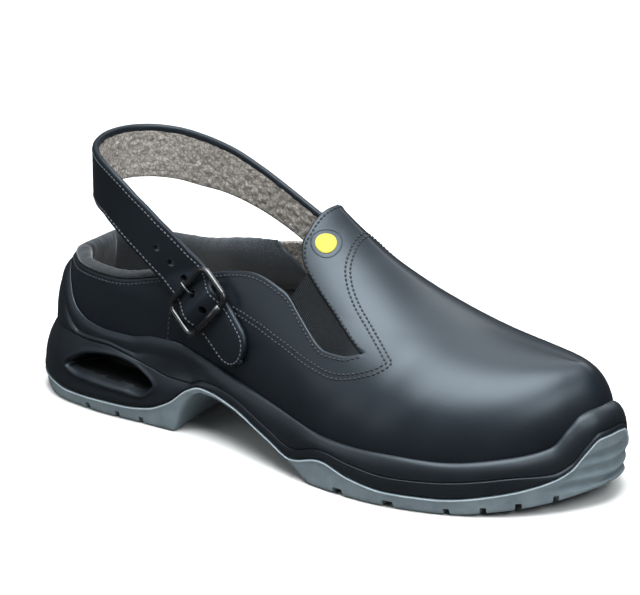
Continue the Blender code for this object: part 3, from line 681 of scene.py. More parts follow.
class Maker:
    """Turns points into the scene's objects."""

    @staticmethod
    def mesh(name: str, points: Points, faces: Iterable[Sequence[int]], looks: Sequence[bpy.types.Material],
             indices: Sequence[int] | None = None, weld: float = 2e-6) -> bpy.types.Object:
        """Makes a smooth mesh object.

        Args:
            name: The object's name.
            points: Points in millimetres from the back of the heel.
            faces: Corners of each face.
            looks: The materials.
            indices: The material of each face, or the first one for all.
            weld: Points this close, in metres, become one.

        Returns:
            The object, at the origin.
        """
        made = bpy.data.meshes.new(name)
        moved = (np.asarray(points, float) - LAST.middle) * MM
        made.from_pydata(moved.tolist(), [], [[int(i) for i in face] for face in faces])
        for look in looks:
            made.materials.append(look)
        if indices is not None:
            made.polygons.foreach_set("material_index", np.asarray(indices, np.int32))
        form = bmesh.new()
        form.from_mesh(made)
        bmesh.ops.remove_doubles(form, verts=form.verts, dist=weld)
        bmesh.ops.dissolve_degenerate(form, edges=form.edges, dist=1e-8)
        bmesh.ops.recalc_face_normals(form, faces=form.faces)
        form.to_mesh(made)
        form.free()
        made.shade_smooth()
        return place_object(name, made)

    @staticmethod
    def band(rows: int, columns: int, closed: bool, start: int = 0) -> list[list[int]]:
        """The quads of a grid of points that are numbered row by row.

        Args:
            rows: How many rows.
            columns: How many columns.
            closed: Whether the last column joins the first.
            start: The first point's number.

        Returns:
            Corners of each quad.
        """
        faces = []
        for k in range(rows - 1):
            for i in range(columns if closed else columns - 1):
                j, low, high = (i + 1) % columns, start + k * columns, start + (k + 1) * columns
                faces.append([low + i, low + j, high + j, high + i])
        return faces

    @staticmethod
    def across(count: int, start: int) -> list[list[int]]:
        """Faces that close a ring side to side, from the heel to the toe.

        Args:
            count: Points of the ring.
            start: The first point's number.

        Returns:
            Corners of each face.
        """
        faces = []
        for i in range(count // 2):
            corners = dict.fromkeys([i, i + 1, count - i - 1, (count - i) % count])
            faces.append([start + corner for corner in corners])
        return faces

    @classmethod
    def loft(cls, name: str, rows: Points, looks: Sequence[bpy.types.Material], indices: Points | int = 0,
             sole_ends: bool = True) -> bpy.types.Object:
        """A solid through closed rows of points.

        Args:
            name: The object's name.
            rows: Rows, columns and coordinates.
            looks: The materials.
            indices: The material of each face of the sides, in rows and columns or an array that fits them.
            sole_ends: Whether the ends are closed side to side, or else as fans.

        Returns:
            The object.
        """
        count, columns = len(rows), len(rows[0])
        faces = cls.band(count, columns, True)
        chosen = np.broadcast_to(indices, (count - 1, columns)).astype(int).ravel().tolist()
        points = np.concatenate(rows)
        for row in (0, count - 1):
            if sole_ends:
                ends = cls.across(columns, row * columns)
            else:
                points = np.vstack([points, rows[row].mean(axis=0)])
                hub = len(points) - 1
                ends = [[row * columns + i, row * columns + (i + 1) % columns, hub] for i in range(columns)]
            faces += ends
            chosen += [0] * len(ends)
        return cls.mesh(name, points, faces, looks, chosen)

    @classmethod
    def sweep(cls, name: str, path: Points, radius: float, look: bpy.types.Material, sides: int = 14,
              closed: bool = False) -> bpy.types.Object:
        """A round bar along a path.

        Args:
            name: The object's name.
            path: Points of its middle line.
            radius: Its radius.
            look: Its material.
            sides: Points round it.
            closed: Whether it returns to its start.

        Returns:
            The object.
        """
        if closed:
            course = unit(np.roll(path, -1, axis=0) - np.roll(path, 1, axis=0))
        else:
            course = unit(np.gradient(path, axis=0))
        side = np.cross(course[0], ANY_WAY)
        rows = []
        for here, ahead in zip(path, course):
            side = side - ahead * (side @ ahead)
            side = side / np.linalg.norm(side)
            up = np.cross(ahead, side)
            turn = np.arange(sides) * 2 * math.pi / sides
            rows.append(here + radius * (np.cos(turn)[:, None] * side + np.sin(turn)[:, None] * up))
        if closed:
            faces = cls.band(len(rows) + 1, sides, True)
            faces = [[corner % (len(rows) * sides) for corner in face] for face in faces]
            return cls.mesh(name, np.concatenate(rows), faces, [look])
        return cls.loft(name, np.array(rows), [look], sole_ends=False)

    @staticmethod
    def cut(body: bpy.types.Object, cutters: Sequence[bpy.types.Object]) -> None:
        """Cuts a body with others, which are then removed.

        Args:
            body: What is cut.
            cutters: The shapes that are taken away.
        """
        for cutter in cutters:
            change = body.modifiers.new("Cut", "BOOLEAN")
            change.operation = "DIFFERENCE"
            change.solver = "EXACT"
            change.object = cutter
        body.data = plain_mesh(body)
        for cutter in cutters:
            bpy.data.objects.remove(cutter)
        body.data.shade_smooth()
        body.data.set_sharp_from_angle(angle=SHARP_EDGE)


def operator(operation: str, reflected: bool = False) -> Callable[["Value", object], "Value"]:
    """Makes an operator of Value.

    Args:
        operation: The Math node's operation.
        reflected: Whether the other value comes first.

    Returns:
        The method.
    """

    def method(this: "Value", other: object) -> "Value":
        """This and another in one Math node."""
        return this.sum(operation, *((other, this) if reflected else (this, other)))

    return method


class Value:
    """A shader socket that takes part in sums."""

    __add__ = __radd__ = operator("ADD")
    __sub__, __rsub__ = operator("SUBTRACT"), operator("SUBTRACT", reflected=True)
    __mul__ = __rmul__ = operator("MULTIPLY")
    __truediv__, __rtruediv__ = operator("DIVIDE"), operator("DIVIDE", reflected=True)

    def __init__(self, tree: bpy.types.NodeTree, socket: bpy.types.NodeSocket) -> None:
        """Keeps the tree and the output socket."""
        self.tree, self.socket = tree, socket

    def sum(self, operation: str, first: object, second: object = 0.0, clamp: bool = False) -> "Value":
        """Adds one Math node.

        Args:
            operation: Its operation.
            first: A value or a number.
            second: A value or a number.
            clamp: Whether the result stays between 0 and 1.

        Returns:
            The result.
        """
        node = self.tree.nodes.new("ShaderNodeMath")
        node.operation, node.use_clamp = operation, clamp
        for socket, given in zip(node.inputs, (first, second)):
            if isinstance(given, Value):
                self.tree.links.new(given.socket, socket)
            else:
                socket.default_value = float(given)
        return Value(self.tree, node.outputs[0])

    def clear(self) -> "Value":
        """This kept between 0 and 1."""
        return self.sum("ADD", self, 0.0, clamp=True)


class Look:
    """A material while its nodes are put together."""

    def __init__(self, name: str) -> None:
        """Starts a material with a Principled shader.

        Args:
            name: The material's name.
        """
        self.material = bpy.data.materials.new(name)
        self.material.use_nodes = True
        self.tree = self.material.node_tree
        self.shader = self.tree.nodes["Principled BSDF"]
        self.place = self.node("ShaderNodeTexCoord", out="Object")

    def node(self, kind: str, settings: dict | None = None, out: str | int = 0, **inputs: object) -> Value:
        """Adds any node.

        Args:
            kind: The node's type.
            settings: What is set on the node first.
            out: The output that is wanted.
            **inputs: Values, numbers or colours of its sockets, with spaces in a name as underscores.

        Returns:
            The output.
        """
        node = self.tree.nodes.new(kind)
        for name, given in (settings or {}).items():
            setattr(node, name, given)
        for name, given in inputs.items():
            found = [s for s in node.inputs if s.enabled and s.name == name.replace("_", " ")]
            self.feed(found[0], given)
        return Value(self.tree, node.outputs[out])

    def feed(self, socket: bpy.types.NodeSocket, given: object) -> None:
        """Links a value to a socket, or sets it there.

        Args:
            socket: The socket.
            given: A value, a number or a colour.
        """
        if isinstance(given, Value):
            self.tree.links.new(given.socket, socket)
        else:
            socket.default_value = given

    def noise(self, size: float, detail: float = 3.0, roughness: float = 0.55) -> Value:
        """Cloudy noise, with spots of about the size given in millimetres."""
        return self.node(
            "ShaderNodeTexNoise", Vector=self.place, Scale=1 / (size * MM), Detail=detail, Roughness=roughness
        )

    def cells(self, size: float, feature: str = "F1", uneven: float = 0.0) -> Value:
        """The distance in cells, with their outlines bent by some noise.

        Args:
            size: The cells' size in millimetres.
            feature: Which distance.
            uneven: How far the outlines are bent, as a share of the size.

        Returns:
            The distance.
        """
        place = self.place
        if uneven:
            wide = size * MM / 0.6
            bend = self.node("ShaderNodeTexNoise", out="Color", Vector=self.place, Scale=1 / wide, Detail=2.0)
            reach = uneven * size * MM
            bend = self.node("ShaderNodeVectorMath", {"operation": "SCALE"}, Vector=bend, Scale=reach)
            place = self.node("ShaderNodeVectorMath", {"operation": "ADD"}, Vector=self.place)
            self.tree.links.new(bend.socket, place.socket.node.inputs[1])
        return self.node(
            "ShaderNodeTexVoronoi", {"feature": feature}, out="Distance", Vector=place, Scale=1 / (size * MM)
        )

    def blend(self, share: Value, low: Sequence[float], high: Sequence[float]) -> Value:
        """A colour between two.

        Args:
            share: 0 for the first colour and 1 for the second.
            low: The first.
            high: The second.

        Returns:
            The colour.
        """
        mixed = self.tree.nodes.new("ShaderNodeMix")
        mixed.data_type = "RGBA"
        self.feed(mixed.inputs["Factor"], share)
        self.feed(mixed.inputs[6], low if isinstance(low, Value) else (*low, 1.0))
        self.feed(mixed.inputs[7], high if isinstance(high, Value) else (*high, 1.0))
        return Value(self.tree, mixed.outputs[2])

    def bump(self, height: Value, depth: float, strength: float = 1.0) -> None:
        """Raises the surface by a height of 0 to 1 times a depth in millimetres."""
        normal = self.node("ShaderNodeBump", Height=height, Distance=depth * MM, Strength=strength)
        self.feed(self.shader.inputs["Normal"], normal)

    def set(self, **inputs: object) -> bpy.types.Material:
        """Sets or links the shader's inputs.

        Args:
            **inputs: Values, numbers or colours, with spaces in a name as underscores.

        Returns:
            The material.
        """
        for name, given in inputs.items():
            self.feed(self.shader.inputs[name.replace("_", " ")], given)
        return self.material


@dataclass(frozen=True)
class Finish:
    """A finish of two colours, with clouds and a fine noise that vary its colour, roughness and relief.

    Sizes are in millimetres. A noise has a size, a detail and a roughness, and the relief a depth and a
    strength.
    """

    name: str
    dark: tuple
    pale: tuple
    roughness: float
    gloss: float
    cloud: tuple
    fine: tuple
    relief: tuple
    patchy: float = 0.0
    speckle: float = 0.0
    constants: tuple = ()

    def share(self, look: Look, cloud: Value, fine: Value) -> Value:
        """How far the colour is on the way from dark to pale."""
        return cloud

    def colour(self, look: Look, cloud: Value, fine: Value) -> Value:
        """The colour over the surface."""
        return look.blend(self.share(look, cloud, fine), self.dark, self.pale)

    def raised(self, look: Look, cloud: Value, fine: Value) -> Value:
        """The height of the relief."""
        return fine

    def make(self) -> bpy.types.Material:
        """Builds the material.

        Returns:
            The material.
        """
        look = Look(self.name)
        cloud, fine = look.noise(*self.cloud), look.noise(*self.fine)
        look.bump(self.raised(look, cloud, fine), *self.relief)
        roughness = self.roughness
        for noise, amount in ((cloud, self.patchy), (fine, self.speckle)):
            if amount:
                roughness = roughness + (noise - 0.5) * amount
        return look.set(
            Base_Color=self.colour(look, cloud, fine), Roughness=roughness, Specular_IOR_Level=self.gloss,
            **dict(self.constants),
        )


@dataclass(frozen=True)
class Leather(Finish):
    """Smooth black leather with a fine grain and a satin sheen."""

    name: str = "smooth_black_leather"
    dark: tuple = (0.0035, 0.0048, 0.0068)
    pale: tuple = (0.0065, 0.0088, 0.0120)
    roughness: float = 0.39
    gloss: float = 0.36
    cloud: tuple = (24.0, 4.0)
    fine: tuple = (0.5, 2.0)
    relief: tuple = (0.05, 0.45)
    patchy: float = 0.12
    speckle: float = 0.10
    constants: tuple = COOL_GLOSS
    grain: float = 0.9
    grain_bend: float = 0.35

    def raised(self, look: Look, cloud: Value, fine: Value) -> Value:
        """Pores, with the fine noise over them."""
        return look.cells(self.grain, "SMOOTH_F1", self.grain_bend) * 0.7 + fine * 0.3


@dataclass(frozen=True)
class Foam(Finish):
    """Moulded black foam with a tight skin."""

    name: str = "moulded_black_foam"
    dark: tuple = (0.0035, 0.0045, 0.0058)
    pale: tuple = (0.0070, 0.0088, 0.0112)
    roughness: float = 0.44
    gloss: float = 0.36
    cloud: tuple = (16.0, 4.0)
    fine: tuple = (0.8, 3.0)
    relief: tuple = (0.05, 0.3)
    patchy: float = 0.12
    speckle: float = 0.10
    constants: tuple = COOL_GLOSS


@dataclass(frozen=True)
class Rubber(Finish):
    """Matt blue-grey rubber, a little dusty."""

    name: str = "blue_grey_rubber"
    dark: tuple = (0.084, 0.110, 0.123)
    pale: tuple = (0.128, 0.160, 0.175)
    roughness: float = 0.58
    gloss: float = 0.35
    cloud: tuple = (9.0, 5.0, 0.65)
    fine: tuple = (0.5, 2.0)
    relief: tuple = (0.06, 0.4)
    patchy: float = 0.2

    def share(self, look: Look, cloud: Value, fine: Value) -> Value:
        """Clouds of dust with more contrast."""
        return ((cloud - 0.3) * 2.2).clear()


@dataclass(frozen=True)
class Lining(Finish):
    """Grained taupe lining: soft pebbles, with fine wrinkles between them drawn only as painted shade."""

    name: str = "wrinkled_taupe_lining"
    dark: tuple = (0.230, 0.205, 0.180)
    pale: tuple = (0.420, 0.385, 0.345)
    roughness: float = 0.82
    gloss: float = 0.25
    cloud: tuple = (7.0, 4.0, 0.6)
    fine: tuple = (0.45, 2.0)
    relief: tuple = (2.2, 1.0)
    speckle: float = 0.1
    # The colour of the painted shade in the wrinkles.
    fold: tuple = (0.070, 0.058, 0.050)
    pebble: float = 2.6
    pebble_bend: float = 1.3
    lumps: tuple = (2.6, 4.0, 0.62)
    wrinkle: float = 2.08
    wrinkle_bend: float = 1.6

    def raised(self, look: Look, cloud: Value, fine: Value) -> Value:
        """Pebbles, with lumps and nap over them."""
        pebbles = look.cells(self.pebble, "SMOOTH_F1", self.pebble_bend)
        return (1 - pebbles) * 0.45 + look.noise(*self.lumps) * 0.4 + fine * 0.15

    def colour(self, look: Look, cloud: Value, fine: Value) -> Value:
        """Mottled taupe, with painted shade in the wrinkles.

        Args:
            look: The material.
            cloud: The clouds.
            fine: The fine noise.

        Returns:
            The colour.
        """
        lumps = look.noise(*self.lumps)
        wrinkles = look.cells(self.wrinkle, "DISTANCE_TO_EDGE", self.wrinkle_bend)
        mottle = (cloud * 0.4 + lumps * 0.45 + fine * 0.15 - 0.25).clear() * 1.6
        skin = look.blend(mottle, self.dark, self.pale)
        # Painted shade: the wrinkles darken towards the fold colour.
        return look.blend((wrinkles * 3.0 + lumps * 0.8).clear(), self.fold, skin)


@dataclass(frozen=True)
class Textile(Finish):
    """Dark grey napped collar cloth, with painted shade down inside the shoe at heights in metres."""

    name: str = "napped_grey_textile"
    dark: tuple = (0.006, 0.007, 0.009)
    pale: tuple = (0.084, 0.097, 0.108)
    roughness: float = 0.78
    gloss: float = 0.2
    cloud: tuple = (10.0, 3.0)
    fine: tuple = (0.7, 3.0, 0.7)
    relief: tuple = (0.25, 0.7)
    speckle: float = 0.2
    constants: tuple = (("Sheen_Weight", 0.30), ("Sheen_Roughness", 0.45))
    tuft: float = 0.98
    tuft_bend: float = 0.5
    # Painted shade: the cloth darkens below these heights, in metres, down inside the shoe.
    painted_shade_from: float = 0.064
    painted_shade_over: float = 0.014
    painted_shade_least: float = 0.15

    def raised(self, look: Look, cloud: Value, fine: Value) -> Value:
        """Nap and tufts."""
        return fine * 0.6 + look.cells(self.tuft, "F1", self.tuft_bend) * 0.4

    def share(self, look: Look, cloud: Value, fine: Value) -> Value:
        """Flecks of nap, darkened by painted shade down inside the shoe.

        Args:
            look: The material.
            cloud: The clouds.
            fine: The fine noise.

        Returns:
            The share of the pale colour.
        """
        # Painted shade: darker lower down, inside the shoe.
        height = look.node("ShaderNodeSeparateXYZ", out="Z", Vector=look.place)
        light = ((height - self.painted_shade_from) / self.painted_shade_over).clear()
        light = light * (1 - self.painted_shade_least) + self.painted_shade_least
        return (((fine - 0.42) * 3.0).clear() * 0.7 + cloud * 0.3) * light


@dataclass(frozen=True)
class Elastic(Finish):
    """Black elastic with fine threads."""

    roughness: float = 0.75
    gloss: float = 0.12
    cloud: tuple = (5.0, 2.0)
    fine: tuple = (0.4, 2.0, 0.7)
    relief: tuple = (0.1, 0.6)
    speckle: float = 0.2

    def share(self, look: Look, cloud: Value, fine: Value) -> Value:
        """Threads, with some clouds."""
        return ((fine - 0.35) * 2.0).clear() * 0.8 + cloud * 0.2


@dataclass(frozen=True)
class Thread(Finish):
    """Sewing thread, twisted and a little waxy."""

    roughness: float = 0.6
    gloss: float = 0.3
    cloud: tuple = (0.35, 2.0)
    fine: tuple = (0.35, 2.0)
    relief: tuple = (0.08, 0.5)
    speckle: float = 0.2


@dataclass(frozen=True)
class Lacquer(Finish):
    """Gloss lacquer, black on the buckle and yellow on the badge, with a flow that shows and fine dust."""

    roughness: float = 0.27
    gloss: float = 0.5
    cloud: tuple = (1.4, 2.0)
    fine: tuple = (0.3, 2.0)
    relief: tuple = (0.02, 0.3)
    speckle: float = 0.06
    constants: tuple = (("Coat_Weight", 0.3), ("Coat_Roughness", 0.1))

    def raised(self, look: Look, cloud: Value, fine: Value) -> Value:
        """The flow."""
        return cloud


class Looks:
    """Every finish of the shoe, made once."""

    def __init__(self) -> None:
        """Makes the materials."""
        self.leather = Leather().make()
        self.strap = Leather("strap_black_leather", roughness=0.46, gloss=0.28, relief=(0.06, 0.45)).make()
        self.foam = Foam().make()
        # Painted shade: a darker, less glossy foam for the deep faces of the heel's hollows.
        self.hollow = Foam("painted_shade_hollow_foam", (0.002,) * 3, (0.004,) * 3, 0.55, 0.12).make()
        self.rubber = Rubber().make()
        self.rubber_edge = Rubber("pale_rubber_edge", (0.20, 0.24, 0.26), (0.30, 0.34, 0.36)).make()
        self.lining = Lining().make()
        self.textile = Textile().make()
        self.elastic = Elastic("black_elastic_sheet", (0.002, 0.002, 0.002), (0.006, 0.006, 0.006)).make()
        self.cords = Elastic("ribbed_black_elastic", (0.004, 0.005, 0.006), (0.018, 0.020, 0.022)).make()
        self.black_thread = Thread("black_thread", (0.006, 0.007, 0.009), (0.026, 0.030, 0.035)).make()
        self.grey_thread = Thread("grey_thread", (0.036, 0.041, 0.047), (0.085, 0.094, 0.104)).make()
        self.metal = Lacquer("black_lacquer", (0.003, 0.003, 0.003), (0.007, 0.007, 0.008)).make()
        yellows = (0.37, 0.325, 0.042), (0.42, 0.375, 0.062)
        self.enamel = Lacquer("yellow_enamel", *yellows, roughness=0.53, gloss=0.1, constants=()).make()


class Tree:
    """A Geometry Nodes tree with named inputs, put together in code."""

    def __init__(self, name: str, sizes: dict[str, float]) -> None:
        """Starts a tree that takes a line as its geometry.

        Args:
            name: Its name.
            sizes: Its named inputs and their values, in metres.
        """
        self.group = bpy.data.node_groups.new(name, "GeometryNodeTree")
        face = self.group.interface
        face.new_socket("Geometry", in_out="INPUT", socket_type="NodeSocketGeometry")
        self.sockets = {}
        for label, size in sizes.items():
            made = face.new_socket(label, in_out="INPUT", socket_type="NodeSocketFloat")
            made.default_value = size
            self.sockets[label] = made.identifier
        look = face.new_socket("Finish", in_out="INPUT", socket_type="NodeSocketMaterial")
        self.sockets["Finish"] = look.identifier
        face.new_socket("Geometry", in_out="OUTPUT", socket_type="NodeSocketGeometry")
        self.start = self.group.nodes.new("NodeGroupInput")
        self.end = self.group.nodes.new("NodeGroupOutput")

    def node(self, kind: str, settings: dict | None = None, **inputs: object) -> bpy.types.Node:
        """Adds a node.

        Args:
            kind: Its type.
            settings: What is set on the node first.
            **inputs: Output sockets or values of its inputs, with spaces in a name as underscores.

        Returns:
            The node.
        """
        made = self.group.nodes.new(kind)
        for name, given in (settings or {}).items():
            setattr(made, name, given)
        for name, given in inputs.items():
            socket = [s for s in made.inputs if s.enabled and s.name == name.replace("_", " ")][0]
            if isinstance(given, bpy.types.NodeSocket):
                self.group.links.new(given, socket)
            else:
                socket.default_value = given
        return made

    def close(self, shape: bpy.types.NodeSocket) -> None:
        """Realizes the shape, gives it its finish and ends the tree.

        Args:
            shape: The geometry so far.
        """
        smooth = self.node("GeometryNodeSetShadeSmooth", Geometry=shape)
        real = self.node("GeometryNodeRealizeInstances", Geometry=smooth.outputs[0])
        dressed = self.node(
            "GeometryNodeSetMaterial", Geometry=real.outputs[0], Material=self.start.outputs["Finish"]
        )
        self.group.links.new(dressed.outputs[0], self.end.inputs[0])

    def run(self, name: str, lines: Sequence[tuple[Points, Points]], look: bpy.types.Material,
            **sizes: float) -> bpy.types.Object:
        """Runs the tree along lines and keeps the result as a plain mesh.

        Args:
            name: The object's name.
            lines: Points in millimetres and the outward directions there, for each line.
            look: The finish.
            **sizes: Values of named inputs, in metres.

        Returns:
            The object.
        """
        points = np.vstack([line for line, _ in lines])
        edges, first = [], 0
        for line, _ in lines:
            edges += [(first + i, first + i + 1) for i in range(len(line) - 1)]
            first += len(line)
        mesh = bpy.data.meshes.new(name + "_lines")
        mesh.from_pydata(((points - LAST.middle) * MM).tolist(), edges, [])
        out = mesh.attributes.new("outward", "FLOAT_VECTOR", "POINT")
        out.data.foreach_set("vector", np.vstack([away for _, away in lines]).astype(np.float32).ravel())
        guide = place_object(name + "_guide", mesh)
        change = guide.modifiers.new("Repeat", "NODES")
        change.node_group = self.group
        change[self.sockets["Finish"]] = look
        for label, size in sizes.items():
            change[self.sockets[label]] = size
        made = plain_mesh(guide)
        bpy.data.objects.remove(guide)
        bpy.data.meshes.remove(mesh)
        made.name = name
        return place_object(name, made)


class Sewing(Tree):
    """Stitches spaced along lines, each a flat bead that lies along its line on the surface."""

    def __init__(self) -> None:
        """Builds the tree."""
        super().__init__("stitches", {"Pitch": 2.2e-3, "Length": 1.75e-3, "Width": 1.05e-3, "Height": 0.9e-3})
        given = self.start.outputs
        line = self.node("GeometryNodeMeshToCurve", Mesh=given["Geometry"])
        even = self.node(
            "GeometryNodeResampleCurve", {"mode": "LENGTH"}, Curve=line.outputs[0], Length=given["Pitch"]
        )
        course = self.node("GeometryNodeInputTangent")
        out = self.node("GeometryNodeInputNamedAttribute", {"data_type": "FLOAT_VECTOR"}, Name="outward")
        turn = self.node(
            "FunctionNodeAxesToRotation", {"primary_axis": "X", "secondary_axis": "Z"},
            Primary_Axis=course.outputs[0], Secondary_Axis=out.outputs[0],
        )
        bead = self.node("GeometryNodeMeshUVSphere", Segments=8, Rings=6, Radius=0.5)
        size = self.node("ShaderNodeCombineXYZ", X=given["Length"], Y=given["Width"], Z=given["Height"])
        beads = self.node(
            "GeometryNodeInstanceOnPoints", Points=even.outputs[0], Instance=bead.outputs[0],
            Rotation=turn.outputs[0], Scale=size.outputs[0],
        )
        self.close(beads.outputs[0])


class Cords(Tree):
    """Round cords along lines."""

    def __init__(self) -> None:
        """Builds the tree."""
        super().__init__("cords", {"Radius": 0.4e-3})
        line = self.node("GeometryNodeMeshToCurve", Mesh=self.start.outputs["Geometry"])
        radius = self.start.outputs["Radius"]
        section = self.node("GeometryNodeCurvePrimitiveCircle", Resolution=8, Radius=radius)
        cords = self.node(
            "GeometryNodeCurveToMesh", Curve=line.outputs[0], Profile_Curve=section.outputs[0], Fill_Caps=True
        )
        self.close(cords.outputs[0])


def settle(piece: bpy.types.Object, slot: Slot, *nodes: str) -> bpy.types.Object:
    """Puts a piece on the shoe's body, and logs it.

    Args:
        piece: The finished piece.
        slot: Its material slot; not used.
        *nodes: The nodes that it stands for.

    Returns:
        The piece.
    """
    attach(piece, BODY)
    if nodes:
        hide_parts(*nodes)
    LOG.info("%s: %d faces", piece.name, len(piece.data.polygons))
    return piece


@dataclass
class Patch:
    """Part of the upper's outer face: the arguments of Last.face, and the way from the nearest cut edge."""

    along: Points
    over: Points
    way: Points


@dataclass
class Fold:
    """A soft trough or ridge on the leather, from one place to another as seen from one side."""

    side: Side
    start: tuple
    end: tuple
    width: float
    rise: float
    middle: float = 8.0
    fade: tuple = (0.12, 0.76)

    def height(self, points: Points) -> Points:
        """How far it lifts points.

        Args:
            points: Points of the outer face.

        Returns:
            Heights to add.
        """
        start, run = np.array(self.start), np.subtract(self.end, self.start)
        flat = points[..., [0, 2]] - start
        share = np.clip(flat @ run / (run @ run), 0, 1)
        far = np.linalg.norm(flat - share[..., None] * run, axis=-1)
        here = (points[..., 1] - self.middle) * self.side.value > 0
        first, span = self.fade
        full = np.sin(math.pi * (first + span * share))
        return self.rise * np.exp(-((far / self.width) ** 2)) * full * here


@dataclass
class Upper:
    """The hollow leather upper: quarters that meet at the heel, the tab between the slots, and the vamp."""

    looks: Looks
    wall: float = 2.0
    slot_tip: tuple = (193.5, 59.0)
    tab_edge: tuple = ((173, 72), (159, 82.2), (152.8, 88), (149.6, 94), (149.6, 100.5))
    tab_top: float = 152.4
    bands: tuple = (0.0, 0.1, 0.25, 0.45, 0.7, 1.0, 1.5, 2.2, 3.2, 4.6, 6.4)
    quarter_stations: int = 150
    quarter_rows: int = 24
    tab_columns: int = 90
    tab_rows: int = 22
    vamp_stations: int = 96
    seam_cord: float = 1.1
    saddle: tuple = (
        (124, 63.6), (135, 61.4), (154, 56.2), (173, 51), (187, 49.2), (198, 51.6), (206, 55.2),
        (207.6, 57.0), (205, 58.8), (197, 64), (189, 69.4), (181, 75.4), (175, 81), (171, 86), (168.4, 91.5),
    )
    saddle_top: float = 167.4
    seam_gap: float = 2.2
    counter: tuple = ((90.5, 62.0), (89.0, 52.0), (88.0, 42.5))
    edge_row: float = 2.4
    tab_row: float = 1.9
    row_room: float = 1.7
    fold_fade: float = 6.0
    face_scale: tuple = (300.0, 80.0)
    line_points: int = 60
    fan_points: int = 50
    ridge_points: int = 400
    seam_points: int = 500
    short_line: int = 40
    cord_sides: int = 10
    folds: tuple = (
        Fold(Side.LATERAL, (206, 30), (216, 58), 5.0, -0.35),
        Fold(Side.LATERAL, (219, 28), (229, 55), 6.0, 0.30),
        Fold(Side.LATERAL, (180, 30), (196, 46), 5.0, -0.30),
        Fold(Side.LATERAL, (120, 46), (150, 50), 5.0, -0.35),
        Fold(Side.LATERAL, (48, 62), (84, 58), 5.0, 0.35),
        Fold(Side.MEDIAL, (206, 30), (216, 58), 5.0, -0.35),
        Fold(Side.MEDIAL, (182, 30), (198, 48), 5.0, 0.30),
        Fold(Side.MEDIAL, (120, 46), (150, 50), 5.0, -0.35),
    )

    def __post_init__(self) -> None:
        """Works out the patches."""
        self.quarters = {side: self._quarter(side) for side in Side}
        self.tab = self._tab()
        self.vamp = self._vamp()

    def _quarter(self, side: Side) -> Patch:
        """One side from the heel to the slot's front end, in lines from the top edge to the sole.

        Args:
            side: The side.

        Returns:
            The patch.
        """
        end, _ = LAST.spot(side, *self.slot_tip)
        along = np.linspace(0, end[0], self.quarter_stations)
        top = LAST.top(side, along)
        count, last = self.line_points, self.bands[-1]
        rises = top[:, None] * np.linspace(1, 0, count)
        points = LAST.section(side, np.repeat(along, count), rises.ravel())
        lines, ways = [], []
        for rise, walk in zip(rises, self._walked(points.reshape(-1, count, 3))):
            way = np.concatenate([self.bands, np.linspace(last, walk[-1], self.quarter_rows + 1)[1:]])
            lines.append(np.interp(way, walk, rise))
            ways.append(way)
        over = np.array(lines) if side is Side.LATERAL else 2 - np.array(lines)
        return Patch(np.repeat(along[:, None], over.shape[1], axis=1), over, np.array(ways))

    def _tab(self) -> Patch:
        """The tab, in lines from its edge forward to the line through the slots' front ends.

        Returns:
            The patch.
        """
        sides = []
        for side in Side:
            quarter = self.quarters[side]
            x, z = np.array(self.tab_edge).T
            along, over = LAST.spot(side, x, z)
            first = [[quarter.along[-1, 0], quarter.over[-1, 0]]]
            sides.append(np.vstack([first, np.column_stack([along, over])]))
        edge = self._over_ridge(sides, self.tab_top, self.tab_columns)
        edge[0], edge[-1] = sides[0][0], sides[1][0]
        front = edge[0] + (edge[-1] - edge[0]) * np.linspace(0, 1, self.tab_columns)[:, None]
        steps = np.linspace(0, 1, self.fan_points)
        fan = edge[:, None] + (front - edge)[:, None] * steps[None, :, None]
        walked = self._walked(LAST.face(fan[..., 0], fan[..., 1]))
        bands, lines, ways = np.array(self.bands), [], []
        for line, walk in zip(fan, walked):
            near = bands * min(1.0, 0.5 * walk[-1] / bands[-1])
            way = np.concatenate([near, np.linspace(near[-1], walk[-1], self.tab_rows + 1)[1:]])
            share = np.interp(way, walk, steps) if walk[-1] > 0 else np.zeros(len(way))
            lines.append(line[0] + (line[-1] - line[0]) * share[:, None])
            ways.append(way)
        lines = np.array(lines)
        return Patch(lines[..., 0], lines[..., 1], np.array(ways))

    def _over_ridge(self, sides: Sequence[Points], top: float, count: int) -> Points:
        """A smooth line up the outer side, over the top line and down the inner side.

        Args:
            sides: The arguments of Last.face on both sides, each from below.
            top: Where along the shoe it crosses the top line.
            count: How many points it gets.

        Returns:
            The arguments of Last.face along it.
        """
        share = np.linspace(0, 1, self.ridge_points)
        apex = np.interp(top, LAST.ridge(share)[:, 0], share)
        whole = np.vstack([sides[0], [[apex, 1.0]], sides[1][::-1]])
        return smooth_line(whole * self.face_scale, count) / self.face_scale

    def _vamp(self) -> Patch:
        """The front, in lines round the foot from the slots' front ends to the toe.

        Returns:
            The patch.
        """
        outer, inner = self.quarters[Side.LATERAL], self.quarters[Side.MEDIAL]

        def starts(name: str) -> Points:
            """Values where the lines start."""
            first, middle, last = (getattr(patch, name) for patch in (outer, self.tab, inner))
            return np.concatenate([first[-1, ::-1], middle[1:-1, -1], last[-1]])

        along, over, way = starts("along"), starts("over"), starts("way")
        toe = (over + 2 - over[::-1]) / 2
        share = np.linspace(0, 1, self.vamp_stations)[:, None]
        lines = Patch(along + (1 - along) * share, over + (toe - over) * share, np.zeros(0))
        walked = self._walked(LAST.face(lines.along, lines.over).transpose(1, 0, 2)).T
        lines.way = np.hypot(walked, way)
        return lines

    @staticmethod
    def _walked(lines: Points) -> Points:
        """The way along each line of points."""
        steps = np.linalg.norm(np.diff(lines, axis=1), axis=2)
        return np.concatenate([np.zeros((len(lines), 1)), np.cumsum(steps, axis=1)], axis=1)

